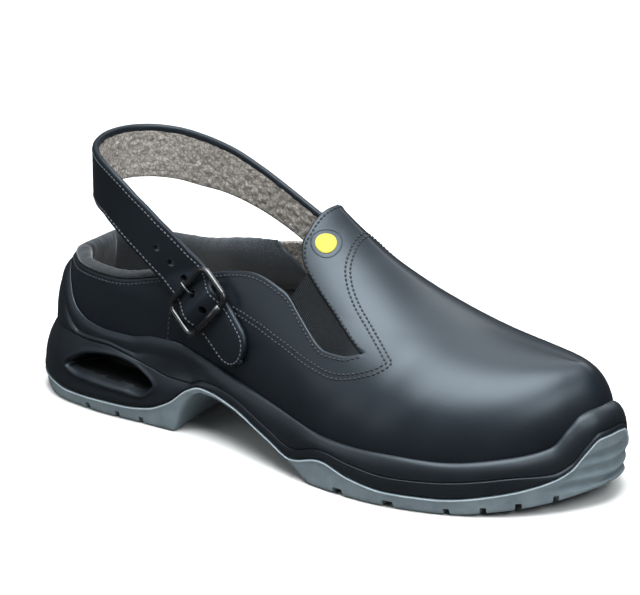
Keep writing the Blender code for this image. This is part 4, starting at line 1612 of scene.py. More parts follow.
    def _faces(self, patch: Patch) -> tuple[Points, Points]:
        """A patch's outer and inner points, rolled together at the cut edges.

        Args:
            patch: The patch.

        Returns:
            The outer points and the inner ones.
        """
        face, out = LAST.face(patch.along, patch.over), LAST.normal(patch.along, patch.over)
        roll = self.wall / 2
        sink = roll - np.sqrt(roll**2 - np.clip(roll - patch.way, 0, None) ** 2)
        relief = sum(fold.height(face) for fold in self.folds) * ease(patch.way, 0.0, self.fold_fade)
        return face + out * (relief - sink)[..., None], face - out * (self.wall - sink)[..., None]

    def build(self) -> None:
        """Makes the wall, its seams and its rows of stitches."""
        points, faces, chosen, count = [], [], [], 0
        for patch in (*self.quarters.values(), self.tab, self.vamp):
            rows, columns = patch.along.shape
            for inside, grid in enumerate(self._faces(patch)):
                quads = Maker.band(rows, columns, False, count)
                flat = grid.reshape(-1, 3)
                middle = flat[np.array(quads) - count].mean(axis=1)
                chosen += list(inside * (1 + (middle[:, 0] < LINING_SEAM("x", middle[:, 2]))))
                faces += quads if not inside else [quad[::-1] for quad in quads]
                points.append(flat)
                count += len(flat)
        foot = self._foot()
        points.append(foot)
        strip = Maker.band(2, len(foot) // 2, True, count)
        faces += strip
        chosen += [0] * len(strip)
        looks = [self.looks.leather, self.looks.lining, self.looks.textile]
        settle(Maker.mesh("leather_upper", np.vstack(points), faces, looks, chosen), Slot.LEATHER, "upper")
        for side in Side:
            z = np.linspace(*LINING_SEAM.rows[[0, -1], 0], self.short_line)
            spot = LAST.spot(side, LINING_SEAM("x", z), z)
            path = LAST.face(*spot) - LAST.normal(*spot) * self.wall
            name = f"lining_seam_{side.name.lower()}"
            cord = Maker.sweep(name, path, self.seam_cord, self.looks.textile, self.cord_sides)
            settle(cord, Slot.TEXTILE)
        self._sew()

    def _foot(self) -> Points:
        """The wall's outer points along the sole, and then its inner ones.

        Returns:
            The points.
        """
        outer, inner = [], []
        quarter = {side: self._faces(self.quarters[side]) for side in Side}
        vamp = self._faces(self.vamp)
        for kind, line in ((0, outer), (1, inner)):
            line.append(quarter[Side.LATERAL][kind][:-1, -1])
            line.append(vamp[kind][:, 0])
            line.append(vamp[kind][-2:0:-1, -1])
            line.append(quarter[Side.MEDIAL][kind][:0:-1, -1])
        return np.vstack(outer + inner)

    def _row(self, patch: Patch, way: float) -> tuple[Points, Points]:
        """A line along a patch's cut edge.

        Args:
            patch: The patch.
            way: How far in it lies.

        Returns:
            Points and the outward directions there.
        """
        kept = patch.way[:, -1] > self.row_room * way
        along = [np.interp(way, w, a) for w, a in zip(patch.way[kept], patch.along[kept])]
        over = [np.interp(way, w, o) for w, o in zip(patch.way[kept], patch.over[kept])]
        return self._on_face(np.array(along), np.array(over))

    @staticmethod
    def _on_face(along: Points, over: Points, lift: float = 0.05) -> tuple[Points, Points]:
        """Points just over the outer face, and the outward directions there."""
        out = LAST.normal(along, over)
        return LAST.face(along, over) + out * lift, out

    @staticmethod
    def _beside(line: tuple[Points, Points], way: float) -> tuple[Points, Points]:
        """A line on the surface beside another."""
        points, out = line
        return points + unit(np.cross(out, np.gradient(points, axis=0))) * way, out

    def _sew(self) -> None:
        """Sews the edges, the double seam that runs over the instep, and the counter's seams."""
        x, z = np.array(self.saddle).T
        sides = [np.column_stack(LAST.spot(side, x, z)) for side in Side]
        seam = self._on_face(*self._over_ridge(sides, self.saddle_top, self.seam_points).T)
        rows = [self._beside(seam, way) for way in (self.seam_gap / 2, -self.seam_gap / 2)]
        rows.append(self._row(self.tab, self.tab_row))
        rows += [self._row(self.quarters[side], self.edge_row) for side in Side]
        x, z = smooth_line(self.counter, self.short_line).T
        rows += [self._on_face(*LAST.spot(side, x, z)) for side in Side]
        settle(Sewing().run("upper_stitches", rows, self.looks.black_thread), Slot.LEATHER)


@dataclass
class Gore:
    """The elastic that fills one slot: a thin sheet, with cords that run along the slot."""

    looks: Looks
    side: Side
    lower: tuple = (
        (193.0, 58.9), (187, 57.3), (178, 57.7), (173.5, 59.3), (168, 62.6), (160, 68.3), (152.2, 73.8),
    )
    upper: tuple = ((193.0, 59.3), (184, 65.0), (173, 72), (166, 77.0), (159, 82.2), (156.2, 84.8))
    stations: int = 60
    sheet_points: int = 12
    cords: int = 16
    depth: float = 1.15
    radius: float = 0.27
    thickness: float = 0.6
    tuck: float = 0.9

    def _grid(self, count: int, steps: int, tuck: float) -> tuple[Points, Points]:
        """Lines across the slot from its front end to its top.

        Args:
            count: How many lines.
            steps: Points of each line.
            tuck: How far they run on under the leather.

        Returns:
            Points and the outward directions there.
        """
        low, high = smooth_line(self.lower, count), smooth_line(self.upper, count)
        run = high - low
        reach = tuck / np.linalg.norm(run, axis=1)[:, None, None]
        share = np.linspace(0, 1, steps)[None, :, None]
        flat = low[:, None] + run[:, None] * (share * (1 + 2 * reach) - reach)
        along, over = LAST.spot(self.side, flat[..., 0].ravel(), flat[..., 1].ravel())
        shape = flat.shape[:2]
        points, out = LAST.face(along, over), LAST.normal(along, over)
        return points.reshape(*shape, 3), out.reshape(*shape, 3)

    def build(self) -> None:
        """Makes the sheet and the cords."""
        name = self.side.name.lower()
        points, out = self._grid(self.stations, self.sheet_points, self.tuck)
        front, back = points - out * self.depth, points - out * (self.depth + self.thickness)
        rows, columns = points.shape[:2]
        rim = [(0, j) for j in range(columns)] + [(i, columns - 1) for i in range(1, rows)]
        rim += [(rows - 1, j) for j in range(columns - 2, -1, -1)] + [(i, 0) for i in range(rows - 2, 0, -1)]
        numbers = [i * columns + j for i, j in rim]
        count = rows * columns
        faces = Maker.band(rows, columns, False) + [q[::-1] for q in Maker.band(rows, columns, False, count)]
        faces += [[b, a, count + a, count + b] for a, b in zip(numbers, numbers[1:] + numbers[:1])]
        both = np.vstack([front.reshape(-1, 3), back.reshape(-1, 3)])
        sheet = Maker.mesh(f"elastic_{name}", both, faces, [self.looks.elastic])
        settle(sheet, Slot.ELASTIC, f"gore_{name}")
        points, out = self._grid(self.stations, self.cords, 0.0)
        lines = [(points[:, k] - out[:, k] * self.depth, out[:, k]) for k in range(self.cords)]
        cords = Cords().run(f"elastic_cords_{name}", lines, self.looks.cords, Radius=self.radius * MM)
        settle(cords, Slot.ELASTIC)


@dataclass
class Collar:
    """The padded roll round the back of the foot: it lies inside the wall and over its top edge."""

    looks: Looks
    end: float = 0.335
    profile: tuple = (
        (24.0, 2.6), (8.0, 2.6), (0.3, 2.4), (-0.4, 0.9), (-1.4, 0.1), (-2.5, 1.3),
        (-3.0, 3.6), (-2.0, 6.2), (1.2, 8.4), (6.0, 9.0), (13.0, 8.2), (21.0, 5.6),
    )
    bed: float = 2.4
    stations: int = 160
    round_points: int = 60
    thins_over: tuple = (14.0, 24.0)
    thinnest: float = 0.06
    end_drop: float = 2.0
    pucker: float = 0.12
    waves: tuple = (1.05, 0.23, 2.3)
    wave_bend: float = 1.7
    wave_fine: float = 0.6
    roll: tuple = (-3.0, 3.5)
    roll_in: float = 2.0
    guide_rise: float = 0.4
    fill: float = 0.75

    def _section(self, section: Points, walk: float, full: float) -> Points:
        """The pad's section at one place, a little puckered over the roll.

        Args:
            section: The plain section: drops from the top edge, and ways in.
            walk: The way along the pad.
            full: The share of its full thickness.

        Returns:
            The section there.
        """
        slow, bend, fine = self.waves
        wave = math.sin(walk * slow + self.wave_bend * math.sin(walk * bend))
        wave = wave + self.wave_fine * math.sin(walk * fine)
        middle, reach = self.roll
        roll = np.exp(-(((section[:, 0] - middle) / reach) ** 2)) * (section[:, 1] > self.roll_in)
        shape = section + np.column_stack([-self.pucker * wave * roll, np.zeros(len(section))])
        shape[:, 1] = self.bed + (shape[:, 1] - self.bed) * full
        shape[:, 0] += (1 - full) * self.end_drop
        return shape

    def build(self) -> None:
        """Makes the pad, whose inner end follows the lining's seam."""
        section = smooth_line(self.profile, self.round_points, closed=True)
        signed = np.linspace(-self.end, self.end, self.stations)
        depths = LINING_SEAM.rows[:, 0]
        seam, _ = LAST.spot(Side.MEDIAL, LINING_SEAM.rows[:, 1], depths)
        rows = []
        guide = LAST.section(Side.LATERAL, np.abs(signed), np.full(len(signed), self.guide_rise))
        walked = way_along(guide)
        for place, walk in zip(signed, walked):
            side = Side.LATERAL if place < 0 else Side.MEDIAL
            here = abs(place)
            far = min(walk / self.thins_over[0], (walked[-1] - walk) / self.thins_over[1], 1.0)
            full = self.thinnest + (1 - self.thinnest) * math.sin(far * math.pi / 2)
            shape = self._section(section, walk, full)
            along = np.full(len(shape), here)
            if side is Side.MEDIAL:
                at_end = np.interp(LAST.top_height(side, seam[-1:])[0] - shape[:, 0], depths, seam)
                along = along * (1 + (at_end / self.end - 1) * here / self.end)
            points = LAST.skin(side, along, LAST.top_height(side, along) - shape[:, 0])
            points[:, :2] -= LAST.edge(side, along)[1] * shape[:, 1:]
            rows.append(points)
        pad = Maker.loft("collar_roll", np.array(rows), [self.looks.textile], sole_ends=False)
        settle(pad, Slot.TEXTILE, "collar_pad")


@dataclass
class Midsole:
    """The moulded foam: a rounded pod, a fine crease, a band up to the lip, the cup and the hollows."""

    looks: Looks
    stations: Points = field(default_factory=lambda: spread(
        (0.0, 0.13, 30), (0.13, 0.32, 120), (0.32, 0.40, 26), (0.40, 0.88, 84), (0.88, 1.0, 52)
    ))
    guard: float = 4.6
    guard_lean: float = 1.0
    gap: float = 0.5
    clearance: float = 0.25
    foot: tuple = ((0.0, 0.45), (0.6, 0.0))
    pod: tuple = (0.2, 0.4, 0.58, 0.74, 0.87, 0.95)
    pod_power: float = 2.4
    crease: tuple = ((-0.5, 0.0), (0.0, 0.5), (0.5, 0.05))
    band: tuple = (0.1, 0.3, 0.5, 0.7, 0.9)
    bulge: Table = Table(
        "along way", (0.0, 0.8), (0.13, 0.7), (0.20, 0.4), (0.30, 0.0), (0.37, -0.7), (0.45, -0.6),
        (0.55, -0.1), (0.70, 0.2), (0.86, 0.3), (0.92, 0.5), (1.0, 0.8),
    )
    lip: tuple = (
        (8.0, 2.9), (6.0, 2.8), (4.4, 2.6), (3.0, 2.25), (1.8, 1.75), (0.8, 1.2), (0.2, 0.7), (0.0, 0.3),
    )
    lip_room: tuple = (2.0, 8.0)
    lip_least: float = 0.3
    roll_from: tuple = (0.33, 0.40)
    roll_power: float = 1.9
    fore: tuple = (0.35, 0.43)
    fore_tuck: float = 0.35
    fore_rise: float = 2.0
    fore_end: tuple = (0.85, 0.92)
    cup: tuple = (0.96, 0.7, 0.4, 0.06)
    hollow: tuple = (
        (30, 18.6), (37, 24.6), (51, 28.8), (64, 28.9), (75, 25.6),
        (82.5, 19.6), (78, 15.3), (64, 14.9), (46, 15.7), (35, 16.5),
    )
    steps: tuple = ((0.0, 1.8, 4.0), (1.8, 3.6, 4.6), (3.6, 5.6, 5.0))
    bead: tuple = (0.6, 0.8)
    hollow_rim: float = 1.5
    hollow_points: int = 80
    hollow_box: tuple = (22.0, 92.0, 24.0, 36.0)
    far_outside: float = -1.0e3

    def _tuck(self, at: Points) -> Points:
        """How far in the crease is: along the forefoot it is only a fine line."""
        return SIDE("tuck", at) * (1 - (1 - self.fore_tuck) * ease(at, *self.fore))

    def _line(self, at: Points) -> Points:
        """The crease's height, a little higher along the forefoot."""
        return SIDE("crease", at) + self.fore_rise * ease(at, *self.fore) * (1 - ease(at, *self.fore_end))

    def _room(self, height: Points) -> Points:
        """The share of the lip's drops that fits in a height over the crease."""
        least, full = self.lip_room
        return np.clip((height - least) / full, self.lip_least, 1)

    def _row(self, rule: Rule) -> Points:
        """A row up to the crease.

        Args:
            rule: Takes the heights of the lower edge and the crease and how far in the crease is, and gives
                ways in and heights.

        Returns:
            The row.
        """
        low = self.gap
        return sole_ring(
            self.stations, lambda at, side, x: rule(SIDE("joint", at) + low, self._line(at), self._tuck(at))
        )

    def _inner_row(self, rule: Rule) -> Points:
        """A row along the upper.

        Args:
            rule: Takes the heights of the lip, the crease and the floor, and gives heights and ways out.

        Returns:
            The row.
        """

        def heights(side: Side, along: Points) -> tuple:
            """What the rule gives on one side."""
            at = LAST.lines(side, along)
            return rule(SIDE("lip", at), self._line(at), LAST.seat(side, along)[:, 2])

        return skin_ring(self.stations, heights)

    def _rolled(self, rows: list[Points]) -> list[Points]:
        """Draws rows into one rounded roll, from the waist to the toe.

        Args:
            rows: Rows from the crease to the lip's edge.

        Returns:
            The new rows.
        """

        def share(side: Side, along: Points) -> Points:
            """How far the rows are drawn in."""
            return ease(along, *self.roll_from)[:, None]

        rolled, here = [], ring(share, self.stations)
        for k, row in enumerate(rows):
            turn = math.pi / 2 * k / (len(rows) - 1)
            across, up = 1 - math.cos(turn) ** (2 / self.roll_power), math.sin(turn) ** (2 / self.roll_power)
            way = np.array([across, across, up])
            rolled.append(row + (rows[0] + (rows[-1] - rows[0]) * way - row) * here)
        return rolled

    def _band(self, low: Points, high: Points, share: float) -> Points:
        """A row between two others, hollowed along the waist and the forefoot.

        Args:
            low: The lower row.
            high: The upper row.
            share: The share of the way up.

        Returns:
            The row.
        """

        def push(side: Side, along: Points) -> Points:
            """Ways out."""
            way = self.bulge("way", along) * math.sin(math.pi * share)
            return np.column_stack([LAST.edge(side, along)[1] * way[:, None], np.zeros(len(along))])

        return low + (high - low) * share + ring(push, self.stations)

    def _hollows(self, rows: Points) -> tuple[Points, Points]:
        """Pushes the heel's sides in, in rounded steps inside a raised rim.

        Args:
            rows: Rows of the whole midsole.

        Returns:
            The new rows, and how far inside the hollows' outline points are.
        """
        outline = smooth_line(self.hollow, self.hollow_points, closed=True)
        flat = rows.reshape(-1, 3)
        x, out, z = flat[:, 0], np.abs(flat[:, 1]), flat[:, 2]
        back, front, half, top = self.hollow_box
        near = (out > half) & (x > back) & (x < front) & (z < top)
        depth = np.full(len(flat), self.far_outside)
        depth[near] = depth_inside(flat[near][:, [0, 2]], outline)
        push = sum(size * ease(depth, start, end) for start, end, size in self.steps)
        rise, reach = self.bead
        push = push - rise * np.exp(-(((depth + reach) / reach) ** 2))
        moved = flat.copy()
        moved[:, 1] -= np.sign(flat[:, 1]) * push
        return moved.reshape(rows.shape), depth.reshape(rows.shape[:2])

    def build(self) -> None:
        """Makes the midsole."""
        top = self.crease[0][0]
        most, power = self.pod[0], self.pod_power
        feet = [
            self._row(lambda low, high, tuck: (inset, low + np.minimum(climb, (high - low) * most / 2)))
            for climb, inset in self.foot
        ]
        pods = [
            self._row(lambda low, high, tuck: (tuck * share**power, low + (high + top - low) * share))
            for share in self.pod
        ]
        creases = [
            self._row(lambda low, high, tuck: (tuck + inset, high + climb)) for climb, inset in self.crease
        ]
        lips = [
            self._inner_row(lambda lip, line, floor: (lip - drop * self._room(lip - line), out))
            for drop, out in self.lip
        ]
        cups = [
            self._inner_row(lambda lip, line, floor: (floor + (lip - floor) * share, self.clearance))
            for share in self.cup
        ]
        bands = [self._band(creases[-1], lips[0], share) for share in self.band]
        face = self._rolled([creases[-1], *bands, *lips])[1:]
        inner = self.guard + self.guard_lean
        given = [
            sole_ring(self.stations, lambda at, side, x: (inner, BED("joint", x) + self.gap)),
            sole_ring(self.stations, lambda at, side, x: (self.guard, SIDE("joint", at) + self.gap)),
            *feet, *pods, *creases, *face, *cups, seat_ring(self.stations, self.clearance, -LAST.stand),
        ]
        parts = [1, 1, 2, 4] + [7] * (len(pods) - 1) + [3] * len(creases) + [3] * len(bands) + [3]
        parts += [2] * len(lips) + [1] * len(cups)
        rows, depth = self._hollows(smooth_rows(np.array(given), parts))
        # The faces deep in the hollows take the darker foam: painted shade.
        inside = depth[:-1] > self.hollow_rim
        body = Maker.loft("foam_midsole", rows, [self.looks.foam, self.looks.hollow], inside)
        settle(body, Slot.FOAM, "midsole")


@dataclass
class Outsole:
    """The rubber tread: bevelled foot, ribbed toe guard, a fine pale bead along its top, and lugs."""

    looks: Looks
    stations: Points = field(default_factory=lambda: spread((0.0, 0.88, 190), (0.88, 1.0, 60)))
    foot: tuple = ((4.0, 0.0, 0.0), (2.2, 0.3, 0.06), (1.3, 1.2, 0.2), (1.0, 2.2, 0.4))
    wall_rows: int = 26
    wall_ends: tuple = ((2.2, 0.4), (1.1, 0.3))
    wall_inset: tuple = (0.95, 0.35)
    rib_low: float = 9.0
    rib_pitch: float = 6.0
    ribs: int = 3
    rib_depth: float = 1.9
    rib_span: tuple = (0.885, 0.935)
    rib_fade: tuple = (1.6, 5.0)
    bead: tuple = ((-0.1, 0.8, 0.22), (-0.35, 0.5, 0.14), (-0.2, 0.12, 0.04), (0.7, 0.03, 0.02))
    pale_rows: int = 6
    tray: tuple = (4.0, 5.0)
    groove: tuple = (3.4, 15.0)
    groove_flare: tuple = (1.25, 0.8)
    grooves: tuple = (
        (44.3, -8, 2.8), (62, 0, 2.8), (75.6, 4, 2.8), (196, -6, 6.0), (221, 0, 6.0),
        (246.4, 8, 3.2), (260.4, 18, 3.2), (272.8, 32, 3.2), (284, 48, 3.2),
    )
    overrun: float = 4.0

    def _row(self, rule: Rule) -> Points:
        """A row of the side; the rule takes places and the heights of tread and top, as _wall does."""
        return sole_ring(self.stations, lambda at, side, x: rule(at, LAST.tread(side, x), SIDE("joint", at)))

    def _wall(self, share: float, at: Points, low: Points, top: Points) -> tuple[Points, Points]:
        """A row of the wall, with the toe guard's ribs, which lie level.

        Args:
            share: The share of the way up.
            at: Places on the side lines.
            low: Heights of the tread.
            top: Heights of the top edge.

        Returns:
            Ways in and heights.
        """
        (climb, most), (drop, least) = self.wall_ends
        start = low + np.minimum(climb, (top - low) * most)
        end = top - np.minimum(drop, (top - low) * least)
        height = start + (end - start) * share
        turn = np.clip((height - self.rib_low) / self.rib_pitch, 0, self.ribs)
        rib = self.rib_depth * (1 - np.cos(2 * math.pi * turn)) / 2
        rib = rib * ease(at, *self.rib_span) * ease(top - height, *self.rib_fade)
        first, last = self.wall_inset
        return first + (last - first) * share + rib, height

    def _cutters(self) -> bpy.types.Object:
        """Groove cutters in one object, from outside the sole's edge inwards.

        Returns:
            The object.
        """
        deep, long = self.groove
        points, faces = [], []
        for x, lean, wide in self.grooves:
            for side in Side:
                far = np.abs(LAST.outline[:, 0] - x) + 1000 * (LAST.outline[:, 1] * side.value < 0)
                edge = LAST.outline[int(np.argmin(far))]
                turn = math.radians(lean)
                inward = np.array([-math.sin(turn), -side.value * math.cos(turn)])
                aside = np.array([inward[1], -inward[0]]) * wide / 2
                start, end = edge - inward * self.overrun, edge + inward * long
                top = float(BED("tread", edge[0])) + deep
                first = len(points)
                for z, flare in zip((-self.overrun, top), self.groove_flare):
                    half = aside * flare
                    corners = start - half, start + half, end + half, end - half
                    points += [(*corner, z) for corner in corners]
                quads = ((0, 1, 2, 3), (4, 5, 6, 7), (0, 1, 5, 4), (1, 2, 6, 5), (2, 3, 7, 6), (3, 0, 4, 7))
                faces += [[first + corner for corner in quad] for quad in quads]
        return Maker.mesh("groove_cutters", np.array(points), faces, [self.looks.rubber])

    def build(self) -> None:
        """Makes the outsole."""
        tray, lean = self.tray
        given = [
            self._row(lambda at, low, top: (inset, low + np.minimum(climb, (top - low) * share)))
            for inset, climb, share in self.foot
        ]
        given += [self._row(partial(self._wall, k / self.wall_rows)) for k in range(1, self.wall_rows + 1)]
        given += [
            self._row(lambda at, low, top: (inset, top - np.minimum(drop, (top - low) * share)))
            for inset, drop, share in self.bead
        ]
        given += [
            sole_ring(self.stations, lambda at, side, x: (tray, SIDE("joint", at))),
            sole_ring(self.stations, lambda at, side, x: (lean, BED("joint", x))),
        ]
        parts = [1, 2, 2] + [1] * self.wall_rows + [3, 2, 2, 1, 1, 1]
        rows = smooth_rows(np.array(given), parts)
        number = np.arange(len(rows) - 1) - sum(parts[: len(self.foot) - 1 + self.wall_rows]) - 1
        pale = (number >= 0) & (number < self.pale_rows)
        body = Maker.loft("rubber_outsole", rows, [self.looks.rubber, self.looks.rubber_edge], pale[:, None])
        Maker.cut(body, [self._cutters()])
        settle(body, Slot.RUBBER, "outsole")


@dataclass
class Insole:
    """The footbed inside the upper's wall, a little dished."""

    looks: Looks
    stations: Points = field(default_factory=lambda: np.linspace(0, 1, 90))
    clearance: float = 2.6
    rim: tuple = ((0.8, 0.0), (0.0, 0.6), (0.0, 2.7), (0.5, 3.4), (1.6, 3.5), (5.0, 3.1), (12.0, 2.7))

    def build(self) -> None:
        """Makes the insole."""
        given = [seat_ring(self.stations, -(self.clearance + inset), climb) for inset, climb in self.rim]
        rows = smooth_rows(np.array(given), [3] * (len(given) - 1))
        settle(Maker.loft("dished_insole", rows, [self.looks.lining]), Slot.LINING, "insole")


@dataclass
class Strap:
    """The heel strap: lined leather with rounded edges, laid on the quarters, with holes and stitches."""

    looks: Looks
    line: tuple = (
        (134, -30, 42.3, 22), (123.3, -29, 51.3, 22), (108, -28, 64.2, 22), (92.7, -30.5, 77.1, 22),
        (77.4, -33, 90, 22), (66, -33.5, 99, 22.5), (57.4, -32.1, 104.5, 23.5), (48.2, -28.1, 107.3, 25),
        (39.6, -20.7, 108.2, 25.5), (32.2, -9.6, 108.2, 25.5), (28.5, 3, 108, 25.5), (30, 14, 107.7, 25.5),
        (36, 23, 107, 25.5), (46, 28.5, 106, 25.3), (58, 31, 104.2, 25), (72, 32, 102, 23),
        (88, 32, 97.5, 20.5), (106, 31, 91, 18.5), (122, 30, 84, 18), (136, 30.5, 76.5, 18),
        (146, 32, 70, 18),
    )
    thickness: float = 2.8
    clearance: float = 0.5
    tip_radius: float = 11.0
    laid_from: float = 84.0
    hump: tuple = (4.2, 6.5)
    across: int = 15
    arc: int = 7
    stations: int = 230
    holes: tuple = (-31.4, -22.4, -13.4, -4.4, 4.6)
    hole_radius: float = 1.7
    hole_reach: tuple = (-12.0, 0.0, 12.0, 24.0)
    hole_sides: int = 20
    stitch_in: float = 2.3
    stitch_end: float = 4.0
    stitch_lift: float = 0.02
    stitch_groove: tuple = (0.22, 0.8)
    stitch_points: tuple = (24, 500)
    line_points: int = 900
    rim_points: int = 6
    tip_points: int = 16
    tip_turn: float = 0.1
    tip_half: float = 0.02
    tip_least: float = 0.003
    edge_fade: float = 6.0
    puff: float = 0.15
    wrinkle: float = 0.40
    wrinkle_from: float = 60.0

    def __post_init__(self) -> None:
        """Works out the middle line and its directions."""
        line = smooth_line(self.line, self.line_points)
        self.walked = way_along(line[:, :3])
        self.places, self.widths = line[:, :3], line[:, 3]
        self.course = unit(np.gradient(self.places, axis=0))
        away = unit(np.column_stack([-self.course[:, 1], self.course[:, 0], np.zeros(len(line))]))
        self.away, self.up = away, np.cross(self.course, away)
        self.middle = self.walked[int(np.argmin(np.linalg.norm(line[:, [0, 2]] - BUCKLE_PLACE, axis=1)))]

    def _read(self, values: Points, at: Points) -> Points:
        """Values of the middle line at ways along it."""
        return columns_at(at, self.walked, values)

    def _inside(self, at: Points, across: Points) -> Points:
        """Points of the inner face.

        Args:
            at: Ways along the strap.
            across: Ways across it.

        Returns:
            The points.
        """
        points = self._read(self.places, at) + self._read(self.up, at) * across[:, None]
        laid = points[:, 0] > self.laid_from
        for side in Side:
            here = laid & (points[:, 1] * side.value > 0)
            face = LAST.face(*LAST.spot(side, points[here, 0], points[here, 2]))
            outer = np.maximum(side.value * points[here, 1], side.value * face[:, 1] + self.clearance)
            points[here, 1] = side.value * outer
        lift = self.hump[0] * np.exp(-(((at - self.middle) / self.hump[1]) ** 2))
        return points + self._read(self.away, at) * lift[:, None]

    def _outward(self, at: Points) -> Points:
        """Directions out of the outer face.

        Args:
            at: Ways along the strap.

        Returns:
            The directions.
        """
        half = np.interp(at, self.walked, self.widths) * 0.4
        run = self._inside(at, half) - self._inside(at, -half)
        out = unit(np.cross(run, self._read(self.course, at)))
        return out * np.sign(np.sum(out * self._read(self.away, at), axis=1))[:, None]

    def _half_width(self, at: Points, inset: float) -> Points:
        """Half the width, less an inset, with the rounded tip.

        Args:
            at: Ways along the strap.
            inset: What each side loses.

        Returns:
            The half widths.
        """
        half = np.interp(at, self.walked, self.widths) / 2 - inset
        radius = self.tip_radius - inset
        tip = np.sqrt(np.clip(radius**2 - np.clip(self.tip_radius - at, 0, None) ** 2, 0, None))
        return np.where(at < self.tip_radius, tip, half)

    def _wrinkles(self, at: Points, across: Points) -> Points:
        """Soft waves of the lining.

        Args:
            at: Ways along the strap.
            across: Ways across it.

        Returns:
            Heights.
        """
        one = np.sin(at * 1.13 + 1.9 * np.sin(across * 0.55) + 0.8 * np.sin(at * 0.31))
        two = np.sin(across * 1.35 + 1.4 * np.sin(at * 0.47 + 1.0))
        return self.wrinkle * (one * 0.6 + two * 0.4 + 0.5 * one * two)

    def build(self) -> None:
        """Makes the strap, its holes and its stitches."""
        radius = self.thickness / 2
        at = np.concatenate([
            radius * (1 - np.cos(np.linspace(self.tip_turn, math.pi / 2, self.rim_points))),
            np.linspace(radius, self.tip_radius, self.tip_points)[1:],
            np.linspace(self.tip_radius, self.walked[-1], self.stations)[1:],
        ])
        half = self._half_width(at, radius)
        half[at < radius + 1e-6] = self.tip_half
        full = np.sqrt(np.clip(1 - (np.clip(radius - at, 0, None) / radius) ** 2, self.tip_least, 1))
        out = self._outward(at)
        turn = np.linspace(-math.pi / 2, math.pi / 2, self.arc)
        flat = np.linspace(-1, 1, self.across)
        columns = [(c, 0.0, -1.0) for c in flat]
        columns += [(1.0, math.cos(t), math.sin(t)) for t in turn[1:-1]]
        columns += [(c, 0.0, 1.0) for c in flat[::-1]]
        columns += [(-1.0, -math.cos(t), math.sin(t)) for t in turn[::-1][1:-1]]
        rows = np.zeros((len(at), len(columns), 3))
        for k, (c, side, lift) in enumerate(columns):
            across = half * c + radius * full * side
            place = self._inside(at, across)
            rise = radius * (1 + full * lift)
            face = np.clip((1 - abs(c)) * self.edge_fade, 0, 1)
            if lift < 0 and side == 0:
                rise = rise - self._wrinkles(at, across) * face * (at > self.wrinkle_from)
            elif side == 0:
                deep, reach = self.stitch_groove
                edge = half + radius - np.abs(across)
                rise = rise - deep * np.exp(-(((edge - self.stitch_in) / reach) ** 2)) + self.puff * face
            rows[:, k] = place + out * rise[:, None]
        number = np.arange(len(columns))
        lined = (number < len(flat) - 2) | (number >= len(columns) - 3)
        body = Maker.loft("lined_strap", rows, [self.looks.strap, self.looks.lining], lined, sole_ends=False)
        Maker.cut(body, [self._hole(way, k) for k, way in enumerate(self.holes)])
        settle(body, Slot.LEATHER, "heel_strap")
        self._sew()

    def _hole(self, way: float, k: int) -> bpy.types.Object:
        """A cutter for one hole."""
        ends = on_buckle([(way, 0.0, height) for height in self.hole_reach])
        return Maker.sweep(f"hole_{k}", ends, self.hole_radius, self.looks.strap, self.hole_sides)

    def _sew(self) -> None:
        """Sews a row along both edges and round the tip."""
        inset = self.stitch_in
        tip_count, count = self.stitch_points
        turn = np.linspace(0, math.pi / 2, tip_count)
        round_tip = self.tip_radius - (self.tip_radius - inset) * np.cos(turn)
        end = self.walked[-1] - self.stitch_end
        at = np.concatenate([round_tip, np.linspace(self.tip_radius, end, count)[1:]])
        half = np.interp(at, self.walked, self.widths) / 2 - inset
        half[: len(turn)] = (self.tip_radius - inset) * np.sin(turn)
        at, across = np.concatenate([at[::-1], at[1:]]), np.concatenate([half[::-1], -half[1:]])
        out = self._outward(at)
        points = self._inside(at, across) + out * (self.thickness + self.stitch_lift)
        stitches = Sewing().run(
            "strap_stitches", [(points, out)], self.looks.grey_thread,
            Pitch=2.1e-3, Length=1.6e-3, Width=0.75e-3, Height=0.65e-3,
        )
        settle(stitches, Slot.LEATHER)


BUCKLE_PLACE = (108.0, 64.2)
STRAP_SLOPE = math.radians(40)


def on_buckle(points: Sequence[Sequence[float]]) -> Points:
    """Points by the buckle, in the shoe's frame.

    Args:
        points: Ways along, across and out from the buckle's place on the quarter.

    Returns:
        The points.
    """
    spot = LAST.spot(Side.LATERAL, *BUCKLE_PLACE)
    place, out = LAST.face(*spot)[0], LAST.normal(*spot)[0]
    down = np.array([math.cos(STRAP_SLOPE), 0.0, -math.sin(STRAP_SLOPE)])
    down = unit(down - out * (down @ out))
    across = np.cross(out, down)
    return np.array([place + a * down + b * across + c * out for a, b, c in points])


